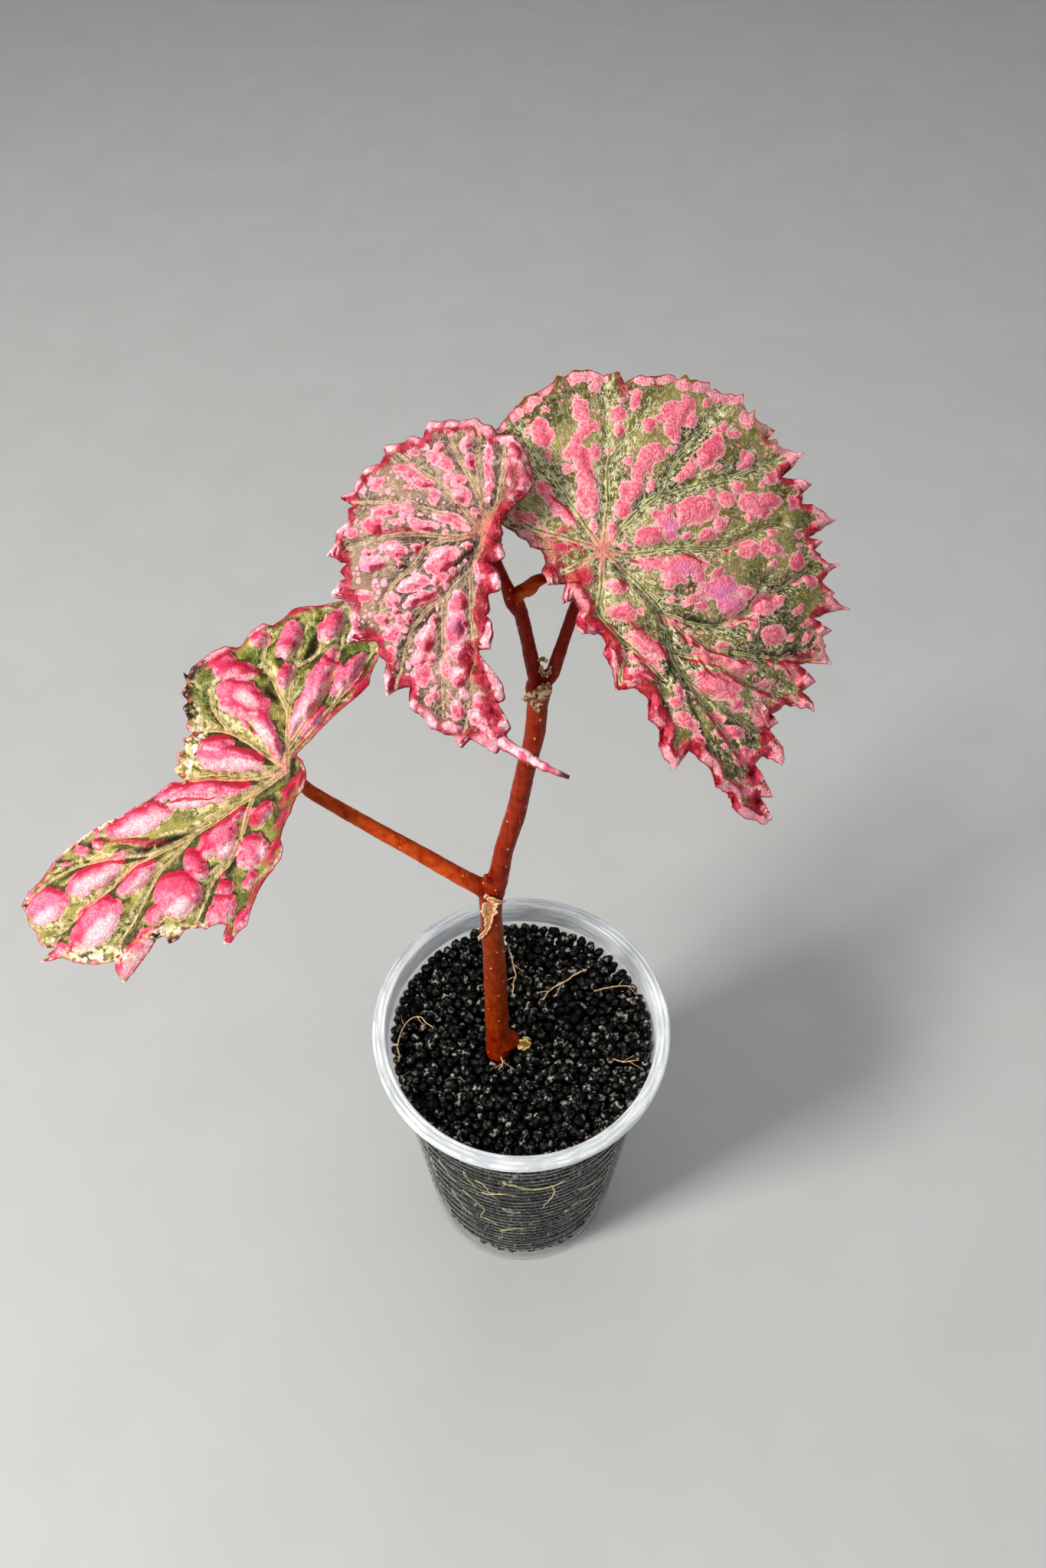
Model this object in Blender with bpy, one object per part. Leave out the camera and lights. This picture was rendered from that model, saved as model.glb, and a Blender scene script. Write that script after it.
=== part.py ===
"""A young potted begonia: a cane with three leaves in a ribbed clear cup of black granules.

Lengths below are in millimetres. The origin is the centre of the cup's base, +Z is up, and -Y is
the side that the leaves' tips hang towards.
"""
import math
import random

import bmesh
import bpy
import numpy as np
from mathutils import Vector
from mathutils.geometry import delaunay_2d_cdt

MM = 0.001
GAP = 0.3

# Cup
CUP_HEIGHT = 104.0
RIM_RADIUS = 37.5
MOUTH_RADIUS = 34.1
FOOT_RADIUS = 26.6
CUP_WALL = 0.9
CUP_SIDES = 40
RIB_COUNT = 14
RIB_DEPTH = 0.7
RIB_LOW_Z = 5.0
RIB_HIGH_Z = 91.0
STEP_Z = 95.5
WALL_RADIUS_LOW = 27.6
WALL_RADIUS_HIGH = 33.3

# Granules
FILL_Z = 96.9
FILL_EDGE_Z = 96.2
FILL_EDGE_RADIUS = 32.9
FILL_FLOOR_Z = 1.8
GRANULE_PITCH = 3.1
GRANULE_RELIEF = 1.9
GRANULE_SEED = 11

# Cane: stations of (x, y, z, radius) up its axis, from its buried end to the fork
CANE = [
    (-6.0, -3.6, 80.0, 2.9), (-6.0, -3.6, 95.0, 3.1), (-6.0, -3.3, 104.0, 2.9), (-6.0, -2.5, 122.5, 2.75),
    (-6.2, -1.5, 142.0, 2.5), (-6.6, 0.0, 156.0, 2.45), (-6.4, 0.8, 162.0, 2.7), (-5.3, 1.0, 166.0, 2.5),
    (-4.5, 1.0, 170.0, 2.15), (-3.6, 1.0, 177.5, 2.05),
    (-0.9, 1.0, 190.5, 1.95), (1.0, 0.5, 205.0, 1.85), (2.5, 0.0, 214.5, 1.8), (2.9, 0.0, 222.5, 1.8),
    (3.1, 0.0, 227.5, 2.25), (3.4, 0.0, 230.0, 1.5),
]
FOOT_BULGE = [
    (-6.0, -3.6, 99.5, 2.9), (-3.8, -3.4, 100.6, 2.7), (-1.9, -3.1, 101.2, 2.2), (-0.6, -2.9, 101.4, 1.5),
]
UPPER_BRANCH = [
    (3.1, 0.0, 227.0, 1.5), (2.1, 0.0, 232.0, 1.35), (1.2, 0.0, 237.4, 1.25), (0.1, 0.0, 244.0, 1.2),
    (-0.9, 0.0, 246.4, 1.55), (-1.8, 0.0, 248.4, 1.2),
]
CANE_SIDES = 12
STALK_SIDES = 10

# Leaves: each lies on a domed sheet around the junction with its stalk. Its frame is the sheet's
# normal and the direction in which the leaf points; outlines and veins are (along, across).
BLADE = 0.8
MARGIN_POINTS = 112
MESH_PITCH = 4.6
EDGE_CLEARANCE = 1.7
SINK = 1.1
SINK_WIDTH = 2.0
TOOTH = 0.4
WAVE_POINTS = 5.09
WAVE_REACH = 3.0

LEAVES = {
    "leaf_right": {
        "junction": (12.3, -2.0, 258.9), "normal": (0.18, -0.60, 0.78), "points_to": (0.52, -0.62, -0.59),
        "dome": 0.0062, "roll": 0.03, "roll_side": -1, "roll_start": 2.0, "wave": 0.7,
        "colour": (0.30, 0.16, 0.13),
        "stalk": [(3.1, 0.0, 227.0, 1.5), (5.4, 0.0, 230.5, 1.3), (6.9, 0.5, 237.0, 1.13), (8.6, 1.0, 244.0, 1.05),
                  (10.6, 1.3, 251.5, 1.0)],
        "outline": [
            (-3.5, -7.0), (-5.5, -8.5), (-8.5, -10.0), (-11, -11), (-15, -10), (-19.5, -8), (-23, -5), (-24.5, -1),
            (-26, 3.5), (-26, 8), (-25.5, 12), (-23.5, 16), (-21, 20.5), (-17.5, 26), (-14, 31), (-10, 34.5),
            (-5.5, 35.5), (-3, 37.5), (2.5, 40), (7.5, 38.5), (14.5, 40.5), (21, 36.5), (28.5, 34.5), (30.5, 29.5),
            (34, 27.5), (35.5, 23.5), (39, 21), (38.5, 16.5), (41.5, 13), (44, 11.5), (46.5, 8), (51, 5.5),
            (47.5, 2.5), (41.5, 1), (37.5, -0.5), (34, -2.5), (34.5, -5.5), (31.5, -6), (27, -5.5), (24.5, -5.5),
            (22.5, -4), (20, -5.5), (19, -8), (15.5, -7.5), (12.5, -6), (9, -8.5), (4.5, -8.5), (0, -8.5), (-2, -8)],
        "veins": {
            "midrib": [(0, 0), (6, 2), (13, 4), (23, 2.5), (31, 4), (43, 6.5)],
            "near_side": [(0, 0), (4, -2.5), (8, -4.5), (15, -3), (21.5, -1)],
            "side_1": [(13, 4), (17.5, 8.5), (19.5, 13.5), (19, 31.5)],
            "side_2": [(13, 4), (20, 7), (26, 15), (33, 27)],
            "broad": [(0, 0), (3, 4), (6, 12.5), (9, 18), (10, 29.5)],
            "back_1": [(0, 0), (-2, 7.5), (-2.5, 12.5), (0.5, 26), (1.5, 36)],
            "back_2": [(-2.5, 12.5), (-6, 18), (-9, 28), (-10, 33)],
            "back_3": [(0, 0), (-6, 5), (-11, 8.5), (-15, 19.5)],
            "lobe_1": [(0, 0), (-6.5, -0.5), (-21.5, -0.5)],
            "lobe_2": [(0, 0), (-4.5, -3.5), (-12, -9)]},
    },
    "leaf_centre": {
        "junction": (-5.1, -4.0, 264.1), "normal": (-0.28, -0.58, 0.76), "points_to": (-0.13, -0.765, -0.63),
        "dome": 0.008, "roll": 0.10, "roll_side": 1, "roll_start": 2.0, "wave": 1.0,
        "colour": (0.24, 0.12, 0.11),
        "stalk": [(-0.9, 0.0, 246.2, 1.3), (-2.7, 0.0, 251.4, 1.05), (-4.2, 0.0, 256.0, 1.0)],
        "outline": [
            (0.5, 2.5), (2.5, 3), (4.5, 3), (7.5, 3.5), (10.5, 2.5), (13, 2.5), (16, 2.5), (17.5, 1.5), (20.5, 3.5),
            (22.5, 5), (25.5, 3.5), (27.5, 5.5), (30, 6), (31.5, 4.5), (31, 2), (32, -2), (29.5, -5), (29, -8),
            (27, -10.5), (24.5, -12), (25, -14.5), (22, -15.5), (18.5, -18.5), (17.5, -21), (14, -22), (10.5, -24.5),
            (6, -26.5), (4, -27.5), (0.5, -26.5), (-2, -25.5), (-4.5, -27.5), (-7.5, -25), (-10, -22.5), (-12, -21),
            (-13.5, -17.5), (-14.5, -14.5), (-16, -12), (-16.5, -8.5), (-16.5, -4.5), (-15.5, -1), (-14, 2),
            (-11, 4.5), (-7.5, 5.5), (-5.5, 5.5), (-3.5, 4), (-1.5, 3)],
        "veins": {
            "midrib": [(0, 0), (6, -1.5), (17, -0.5), (29, -1.5)],
            "near_1": [(6, -2), (10, -5.5), (21, -5), (28, -5)],
            "near_2": [(10, -5.5), (12.5, -9), (17, -11.5), (24, -13.5)],
            "broad_1": [(0, 0), (1, -4), (5.5, -11), (13, -16.5)],
            "broad_2": [(1, -4), (1, -14), (3.5, -24)],
            "broad_3": [(0, 0), (-2.5, -9.5), (-4, -24)],
            "back_1": [(0, 0), (-5.5, -6.5), (-12, -18)],
            "back_2": [(0, 0), (-9, -5), (-13.5, -8.5)],
            "back_3": [(0, 0), (-9, -1), (-14, 0.5)]},
    },
    "leaf_left": {
        "junction": (-45.6, 6.0, 197.4), "normal": (0.0, -0.52, 0.85), "points_to": (-0.88, -0.40, -0.25),
        "dome": 0.0035, "roll": 0.0, "roll_side": 1, "roll_start": 0.0, "wave": 0.5,
        "colour": (0.42, 0.25, 0.16),
        "stalk": [(-6.3, 0.8, 162.6, 2.2), (-9.0, 0.9, 164.8, 2.05), (-12.4, 1.2, 167.4, 1.85),
                  (-22.3, 3.6, 174.1, 1.65), (-28.5, 5.2, 177.8, 1.6), (-36.0, 7.2, 182.5, 1.5),
                  (-42.5, 8.8, 187.0, 1.4), (-45.2, 9.0, 191.5, 1.3)],
        "outline": [
            (-3, -2), (-6.5, -4), (-14.5, -6), (-20, -7.5), (-25.5, -12), (-28, -14), (-29, -18.5), (-28.5, -21.5),
            (-25.5, -26), (-21, -27), (-15, -29), (-9, -28.5), (-4, -27), (0.5, -28), (5.5, -27.5), (9, -26),
            (12, -19.5), (14, -15.5), (17.5, -13), (19, -10.5), (18.5, -8), (25, -8), (34.5, -7.5), (44.5, -6.5),
            (53, -4.5), (60.5, -2.5), (61, 1.5), (60, 7), (56, 12.5), (51, 15.5), (48, 20.5), (43, 18.5), (37, 17),
            (34.5, 19), (28.5, 19.5), (23.5, 21.5), (20.5, 23), (17.5, 20), (11, 16), (6.5, 12.5), (2.5, 8),
            (-1.5, 5), (-3, 2.5), (-3.5, 0)],
        "veins": {
            "midrib": [(0, 0), (8.5, 1.5), (27.5, 3), (38.5, 0), (54.5, -2.5)],
            "side_1": [(27.5, 3), (38.5, 3.5), (49.5, 6), (59, 8)],
            "side_2": [(18, 2), (27.5, 4.5), (35, 8.5), (47, 15.5)],
            "side_3": [(7.5, 1), (17.5, 10), (27.5, 17.5)],
            "side_4": [(1.5, 3.5), (6, 9.5), (16, 17.5)],
            "back_1": [(0, 0), (-6, -9.5), (-11, -17.5), (-20.5, -25.5)],
            "back_2": [(-6, -9.5), (-7.5, -19.5), (-2, -26)],
            "back_3": [(0, 0), (-14.5, -10.5), (-27, -16.5)],
            "back_4": [(0, 0), (2.5, -5.5), (6, -12.5), (12, -15.5)],
            "back_5": [(2.5, -0.5), (7.5, -2.5), (17, -7)]},
    },
}

# The centre leaf's rolled tip, as (x, y, z, radius)
LEAF_TIP = [
    (-3.4, -23.0, 240.2, 0.95), (0.4, -25.0, 238.9, 0.9), (3.8, -26.6, 237.9, 0.65), (7.3, -27.8, 237.0, 0.4),
]

GROWING_TIP = [
    (0.9, -0.5, 248.5, 0.8), (1.7, -0.5, 250.2, 1.2), (2.9, -0.5, 251.5, 1.0), (4.5, -0.3, 252.1, 0.7),
    (6.6, 0.0, 251.6, 0.35),
]
TIP_SIDES = 8

# Dry scales: a spine of (x, y, z, half width), bent round the cane
STIPULES = {
    "stipule_low": [(-4.3, -2.4, 164.6, 0.5), (-6.3, -2.6, 163.6, 1.0), (-7.1, -3.0, 161.0, 1.1),
                    (-7.7, -3.3, 157.5, 0.8), (-8.3, -3.5, 153.6, 0.4)],
    "stipule_fork": [(4.6, -2.5, 231.2, 0.5), (3.4, -2.8, 230.0, 1.3), (2.6, -2.8, 228.4, 1.6),
                     (2.3, -2.8, 226.2, 0.4)],
    "stipule_axil": [(4.0, -0.5, 231.6, 0.5), (3.9, -0.9, 233.2, 0.8), (3.7, -1.2, 235.0, 0.5)],
    "basal_scale": [(1.2, -4.6, 99.5, 0.5), (1.4, -4.2, 101.3, 1.2), (1.0, -3.8, 103.4, 0.8)],
}
SCALE_THICKNESS = 0.6

# Roots on the granules, as (x, y) of a route
ROOT_RADIUS = 0.45
ROOT_SIDES = 6
ROOTS = {
    "root_1": [(17.7, 19.0), (13.1, 14.0), (10.2, 12.4), (6.6, 10.1)],
    "root_2": [(19.3, 12.2), (24.0, 13.5), (27.5, 13.5), (30.2, 13.0)],
    "root_3": [(-3.0, 24.0), (-2.5, 21.0), (-1.6, 16.5), (-2.6, 11.5)],
    "root_4": [(-31.0, -8.0), (-31.2, -2.0), (-29.4, 3.2), (-26.5, 4.4), (-22.8, 1.8)],
    "root_5": [(23.0, -7.2), (26.2, -8.0), (29.6, -7.4)],
}


def clear_scene():
    for obj in list(bpy.data.objects):
        bpy.data.objects.remove(obj, do_unlink=True)


def material(name, colour, roughness):
    mat = bpy.data.materials.new(name)
    mat.use_nodes = True
    shader = mat.node_tree.nodes["Principled BSDF"]
    shader.inputs["Base Color"].default_value = (*colour, 1.0)
    shader.inputs["Roughness"].default_value = roughness
    shader.inputs["Metallic"].default_value = 0.0
    mat.diffuse_color = (*colour, 1.0)
    return mat


def mesh_object(name, vertices, faces, mat=None):
    """An object from points in millimetres, with its faces turned outwards."""
    mesh = bpy.data.meshes.new(name)
    mesh.from_pydata([tuple(MM * c for c in v) for v in vertices], [], faces)
    bm = bmesh.new()
    bm.from_mesh(mesh)
    bmesh.ops.recalc_face_normals(bm, faces=bm.faces)
    bm.to_mesh(mesh)
    bm.free()
    if mat:
        mesh.materials.append(mat)
    obj = bpy.data.objects.new(name, mesh)
    bpy.context.scene.collection.objects.link(obj)
    return obj


def shade(obj, degrees=40.0):
    obj.data.shade_smooth()
    obj.data.set_sharp_from_angle(angle=math.radians(degrees))


def smooth_path(stations, steps):
    """Catmull-Rom curve through the stations, with the given steps between each pair."""
    points = np.array(stations, float)
    padded = np.vstack([2 * points[0] - points[1], points, 2 * points[-1] - points[-2]])
    path = []
    for i in range(1, len(padded) - 2):
        a, b, c, d = padded[i - 1:i + 3]
        for k in range(steps):
            t = k / steps
            path.append(0.5 * (2 * b + (c - a) * t + (2 * a - 5 * b + 4 * c - d) * t * t
                               + (3 * b - a - 3 * c + d) * t ** 3))
    path.append(points[-1])
    return np.array(path)


def tube(name, stations, sides, steps=2, mat=None):
    """A round tube along stations of (x, y, z, radius), its frame carried along without twist."""
    path = smooth_path(stations, steps)
    tangents = np.gradient(path[:, :3], axis=0)
    normal = Vector((1.0, 0.0, 0.0))
    if abs(Vector(tangents[0]).normalized().x) > 0.9:
        normal = Vector((0.0, 0.0, 1.0))
    vertices = []
    for station, tangent in zip(path, tangents):
        along = Vector(tangent).normalized()
        normal = (normal - along * normal.dot(along)).normalized()
        side = along.cross(normal)
        for k in range(sides):
            turn = 2 * math.pi * k / sides
            spoke = normal * math.cos(turn) + side * math.sin(turn)
            vertices.append(Vector(station[:3]) + spoke * station[3])
    faces = []
    for ring in range(len(path) - 1):
        for k in range(sides):
            low = ring * sides + k
            low_next = ring * sides + (k + 1) % sides
            faces.append((low, low_next, low_next + sides, low + sides))
    faces.append(tuple(range(sides))[::-1])
    faces.append(tuple(range((len(path) - 1) * sides, len(path) * sides)))
    return mesh_object(name, vertices, faces, mat)


def lathe(name, profile, sides, mat):
    """A turned solid from a profile of (radius, z) whose two ends lie on the axis."""
    vertices = [(0.0, 0.0, profile[0][1])]
    for radius, z in profile[1:-1]:
        for k in range(sides):
            turn = 2 * math.pi * k / sides
            vertices.append((radius * math.cos(turn), radius * math.sin(turn), z))
    vertices.append((0.0, 0.0, profile[-1][1]))
    last = len(vertices) - 1
    rings = len(profile) - 2
    faces = []
    for k in range(sides):
        after = (k + 1) % sides
        faces.append((0, 1 + after, 1 + k))
        for ring in range(rings - 1):
            low = 1 + ring * sides
            faces.append((low + k, low + after, low + sides + after, low + sides + k))
        top = 1 + (rings - 1) * sides
        faces.append((top + k, top + after, last))
    return mesh_object(name, vertices, faces, mat)


def union(target, others):
    """Joins closed solids into the target, and removes the ones joined."""
    group = bpy.data.collections.new(target.name + "_union")
    bpy.context.scene.collection.children.link(group)
    for other in others:
        group.objects.link(other)
    modifier = target.modifiers.new("union", "BOOLEAN")
    modifier.operation = "UNION"
    modifier.solver = "EXACT"
    modifier.operand_type = "COLLECTION"
    modifier.collection = group
    bpy.context.view_layer.update()
    evaluated = target.evaluated_get(bpy.context.evaluated_depsgraph_get())
    joined = bpy.data.meshes.new_from_object(evaluated)
    target.modifiers.clear()
    target.data = joined
    for other in others:
        bpy.data.objects.remove(other, do_unlink=True)
    bpy.data.collections.remove(group)


def wall_radius(z):
    """The cup wall's outer radius between its ribs."""
    return WALL_RADIUS_LOW + (WALL_RADIUS_HIGH - WALL_RADIUS_LOW) * z / RIB_HIGH_Z


def fill_radius(z):
    """The granules' radius, a gap inside the cup's inner wall."""
    return wall_radius(z) - RIB_DEPTH - CUP_WALL - GAP


def cup():
    outside = [(0.0, 0.0), (21.0, 0.0), (22.0, 0.5), (24.4, 0.5), (25.0, 0.0), (FOOT_RADIUS, 0.0),
               (wall_radius(1.2), 1.2)]
    pitch = (RIB_HIGH_Z - RIB_LOW_Z) / RIB_COUNT
    for i in range(RIB_COUNT):
        z = RIB_LOW_Z + pitch * i
        outside.append((wall_radius(z), z))
        outside.append((wall_radius(z) - RIB_DEPTH, z + 0.5 * pitch))
    step_out = MOUTH_RADIUS + CUP_WALL
    outside += [(wall_radius(RIB_HIGH_Z), RIB_HIGH_Z), (wall_radius(RIB_HIGH_Z) + 0.3, STEP_Z - 1.5),
                (step_out, STEP_Z + 1.5), (step_out + 0.1, CUP_HEIGHT - 1.0)]
    outside += [(RIM_RADIUS - 1.0, CUP_HEIGHT - 1.0), (RIM_RADIUS - 0.8, CUP_HEIGHT - 2.4),
                (RIM_RADIUS, CUP_HEIGHT - 2.4), (RIM_RADIUS, CUP_HEIGHT - 0.6),
                (RIM_RADIUS - 0.7, CUP_HEIGHT), (MOUTH_RADIUS + 0.6, CUP_HEIGHT)]
    inside_high = wall_radius(RIB_HIGH_Z) - RIB_DEPTH - CUP_WALL
    inside_low = wall_radius(2.0) - RIB_DEPTH - CUP_WALL
    inside = [(MOUTH_RADIUS, CUP_HEIGHT - 0.6), (MOUTH_RADIUS, STEP_Z + 2.0),
              (inside_high + 0.5, STEP_Z - 1.0), (inside_high, RIB_HIGH_Z),
              (inside_low, 2.0), (inside_low - 0.5, 1.5), (0.0, 1.5)]
    obj = lathe("cup", outside + inside, CUP_SIDES, material("cup_clear", (0.78, 0.82, 0.85), 0.15))
    shade(obj, 30.0)


def granule_peaks():
    """Jittered places of the granules on a hexagonal lattice, clear of the wall and the cane."""
    draw = random.Random(GRANULE_SEED)
    hole_x, hole_y, _, hole_radius = CANE[1]
    edge = FILL_EDGE_RADIUS
    peaks = []
    rows = int(edge / (GRANULE_PITCH * math.sqrt(0.75))) + 1
    for row in range(-rows, rows + 1):
        for column in range(-rows, rows + 1):
            x = GRANULE_PITCH * (column + 0.5 * (row % 2)) + draw.uniform(-0.4, 0.4)
            y = GRANULE_PITCH * math.sqrt(0.75) * row + draw.uniform(-0.4, 0.4)
            z = FILL_Z + draw.uniform(-0.5, 0.7)
            inside = math.hypot(x, y) < edge - 0.45 * GRANULE_PITCH
            clear = math.hypot(x - hole_x, y - hole_y) > hole_radius + 0.5 * GRANULE_PITCH
            if inside and clear:
                peaks.append((x, y, z))
    return peaks


def triangulate(points, loops):
    """Delaunay triangles of flat points, with closed loops of point numbers kept as edges."""
    edges = [(loop[i], loop[(i + 1) % len(loop)]) for loop in loops for i in range(len(loop))]
    flat = [Vector((p[0], p[1])) for p in points]
    return delaunay_2d_cdt(flat, edges, [], 0, 1e-5)[2]


def circle(x, y, z, radius, sides):
    turns = [2 * math.pi * k / sides for k in range(sides)]
    return [(x + radius * math.cos(a), y + radius * math.sin(a), z) for a in turns]


def soil():
    """A plug whose top is a relief of granules: a peak for each, and a low point between any three."""
    hole_x, hole_y, hole_floor, _ = CANE[0]
    hole_radius = max(station[3] for station in CANE[:3]) + 2 * GAP
    hole_sides = 16
    rim = circle(0, 0, FILL_EDGE_Z, FILL_EDGE_RADIUS, CUP_SIDES)
    mouth = circle(hole_x, hole_y, FILL_Z - 1.2, hole_radius, hole_sides)
    rim_loop = list(range(CUP_SIDES))
    mouth_loop = list(range(CUP_SIDES, CUP_SIDES + hole_sides))
    points = rim + mouth + granule_peaks()
    first = triangulate(points, [rim_loop, mouth_loop])
    peaks_from = CUP_SIDES + hole_sides
    for triangle in first:
        if min(triangle) >= peaks_from:
            corners = [points[i] for i in triangle]
            middle = [sum(c[i] for c in corners) / 3 for i in range(3)]
            points.append((middle[0], middle[1], middle[2] - GRANULE_RELIEF))
    top = [t for t in triangulate(points, [rim_loop, mouth_loop]) if not set(t) <= set(mouth_loop)]
    faces = [tuple(t) for t in top]
    shoulder_z = STEP_Z - 2.0
    shoulder_start = len(points)
    points += circle(0, 0, shoulder_z, fill_radius(RIB_HIGH_Z), CUP_SIDES)
    foot_start = len(points)
    points += circle(0, 0, FILL_FLOOR_Z, fill_radius(FILL_FLOOR_Z) - 0.4, CUP_SIDES)
    well_start = len(points)
    points += circle(hole_x, hole_y, hole_floor - GAP, hole_radius, hole_sides)
    for k in range(CUP_SIDES):
        after = (k + 1) % CUP_SIDES
        faces.append((k, after, shoulder_start + after, shoulder_start + k))
        faces.append((shoulder_start + k, shoulder_start + after, foot_start + after, foot_start + k))
    for k in range(hole_sides):
        after = (k + 1) % hole_sides
        faces.append((CUP_SIDES + k, CUP_SIDES + after, well_start + after, well_start + k))
    faces.append(tuple(range(foot_start, foot_start + CUP_SIDES)))
    faces.append(tuple(range(well_start, well_start + hole_sides)))
    mesh_object("soil", points, faces, material("granules", (0.012, 0.012, 0.013), 0.45))


def leaf_frame(leaf):
    """The leaf's junction and its unit vectors: along, across and normal."""
    normal = np.array(leaf["normal"])
    normal = normal / np.linalg.norm(normal)
    along = np.array(leaf["points_to"])
    along = along - normal * along.dot(normal)
    along = along / np.linalg.norm(along)
    return np.array(leaf["junction"]), along, np.cross(normal, along), normal


def distance_to_veins(leaf, p, q):
    nearest = 1e9
    for vein in leaf["veins"].values():
        for (ax, ay), (bx, by) in zip(vein, vein[1:]):
            length = (bx - ax) ** 2 + (by - ay) ** 2
            t = min(1.0, max(0.0, ((p - ax) * (bx - ax) + (q - ay) * (by - ay)) / length))
            nearest = min(nearest, math.hypot(p - ax - t * (bx - ax), q - ay - t * (by - ay)))
    return nearest


def dome_height(leaf, p, q):
    """The sheet's height above the junction: a dome, rolled under along one side."""
    rolled = max(leaf["roll_side"] * q - leaf["roll_start"], 0.0)
    return -leaf["dome"] * (p * p + q * q) - leaf["roll"] * rolled ** 2


def blade_height(leaf, p, q):
    """The dome, sunk along the veins."""
    return dome_height(leaf, p, q) - SINK * math.exp(-(distance_to_veins(leaf, p, q) / SINK_WIDTH) ** 2)


def margin_wave(leaf, margin, p, q):
    """The margin's ruffle, which dies away inwards."""
    distances = np.hypot(margin[:, 0] - p, margin[:, 1] - q)
    nearest = int(np.argmin(distances))
    swing = math.sin(2 * math.pi * nearest / WAVE_POINTS)
    return leaf["wave"] * swing * math.exp(-distances[nearest] / WAVE_REACH)


def leaf_point(leaf, p, q, height):
    junction, along, across, normal = leaf_frame(leaf)
    return junction + along * p + across * q + normal * height


def toothed_margin(leaf):
    """The outline as evenly spaced points, every second one drawn out to a tooth."""
    loop = leaf["outline"]
    closed = smooth_path(loop[-1:] + loop + loop[:2], 6)[6:-6]
    lengths = np.concatenate([[0.0], np.cumsum(np.hypot(*np.diff(closed, axis=0).T))])
    wanted = np.linspace(0.0, lengths[-1], MARGIN_POINTS, endpoint=False)
    margin = np.column_stack([np.interp(wanted, lengths, closed[:, i]) for i in (0, 1)])
    tangent = np.roll(margin, -1, axis=0) - np.roll(margin, 1, axis=0)
    outward = np.column_stack([-tangent[:, 1], tangent[:, 0]])
    outward /= np.hypot(*outward.T)[:, None]
    area = np.sum(margin[:, 0] * np.roll(margin[:, 1], -1) - np.roll(margin[:, 0], -1) * margin[:, 1])
    sign = np.where(np.arange(MARGIN_POINTS) % 2, 1.0, -1.0)[:, None] * -math.copysign(TOOTH, area)
    return margin + outward * sign


def inner_points(leaf, margin):
    """Points on the veins, then a hexagonal lattice between them, all clear of the margin."""
    def clear(point, others, distance):
        return all(math.hypot(point[0] - o[0], point[1] - o[1]) > distance for o in others)

    kept = []
    for vein in leaf["veins"].values():
        for (ax, ay), (bx, by) in zip(vein, vein[1:]):
            steps = max(1, round(math.hypot(bx - ax, by - ay) / MESH_PITCH))
            for k in range(steps + 1):
                point = (ax + (bx - ax) * k / steps, ay + (by - ay) * k / steps)
                if clear(point, kept, 1.6) and clear(point, margin, EDGE_CLEARANCE):
                    kept.append(point)
    rows = int(70.0 / (MESH_PITCH * math.sqrt(0.75)))
    for row in range(-rows, rows + 1):
        for column in range(-rows, rows + 1):
            point = (MESH_PITCH * (column + 0.5 * (row % 2)), MESH_PITCH * math.sqrt(0.75) * row)
            inside = point_inside(point, margin)
            if inside and clear(point, kept, 2.6) and clear(point, margin, EDGE_CLEARANCE):
                kept.append(point)
    return [p for p in kept if point_inside(p, margin)]


def point_inside(point, loop):
    """Whether a ray from the point crosses the loop an odd number of times."""
    crossings = 0
    for a, b in zip(loop, np.roll(loop, -1, axis=0)):
        if (a[1] > point[1]) != (b[1] > point[1]):
            if point[0] < a[0] + (b[0] - a[0]) * (point[1] - a[1]) / (b[1] - a[1]):
                crossings += 1
    return crossings % 2 == 1


def leaf_blade(name, leaf):
    """A thin blade: one set of triangles for the upper face, the same below, and a closing edge."""
    margin = toothed_margin(leaf)
    flat = [tuple(m) for m in margin] + inner_points(leaf, margin)
    loop = list(range(MARGIN_POINTS))
    triangles = []
    for t in triangulate(flat, [loop]):
        middle = [sum(flat[i][k] for i in t) / 3 for k in (0, 1)]
        if point_inside(middle, margin):
            triangles.append(tuple(t))
    upper = []
    lower = []
    for p, q in flat:
        height = blade_height(leaf, p, q) + margin_wave(leaf, margin, p, q)
        slope_p = blade_slope(leaf, p, q, 1.0, 0.0)
        slope_q = blade_slope(leaf, p, q, 0.0, 1.0)
        depth = BLADE * math.sqrt(1.0 + slope_p ** 2 + slope_q ** 2)
        upper.append(leaf_point(leaf, p, q, height))
        lower.append(leaf_point(leaf, p, q, height - depth))
    count = len(flat)
    faces = triangles + [(c + count, b + count, a + count) for a, b, c in triangles]
    for k in loop:
        after = (k + 1) % MARGIN_POINTS
        faces.append((k, after, after + count))
        faces.append((k, after + count, k + count))
    return mesh_object(name, upper + lower, faces, material(name, leaf["colour"], 0.35))


def blade_slope(leaf, p, q, step_p, step_q):
    """The dome's slope along a step in the leaf's plane."""
    return 0.5 * (dome_height(leaf, p + step_p, q + step_q) - dome_height(leaf, p - step_p, q - step_q))


def stalk_end(leaf):
    """The two last stations of a leaf's stalk, square to the blade and just under it."""
    under = blade_height(leaf, 0.0, 0.0) - BLADE * 1.05 - GAP
    radius = leaf["stalk"][-1][3]
    low = leaf_point(leaf, 0.0, 0.0, under - 3.0)
    high = leaf_point(leaf, 0.0, 0.0, under)
    return [(*low, radius), (*high, radius * 1.15)]


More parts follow.
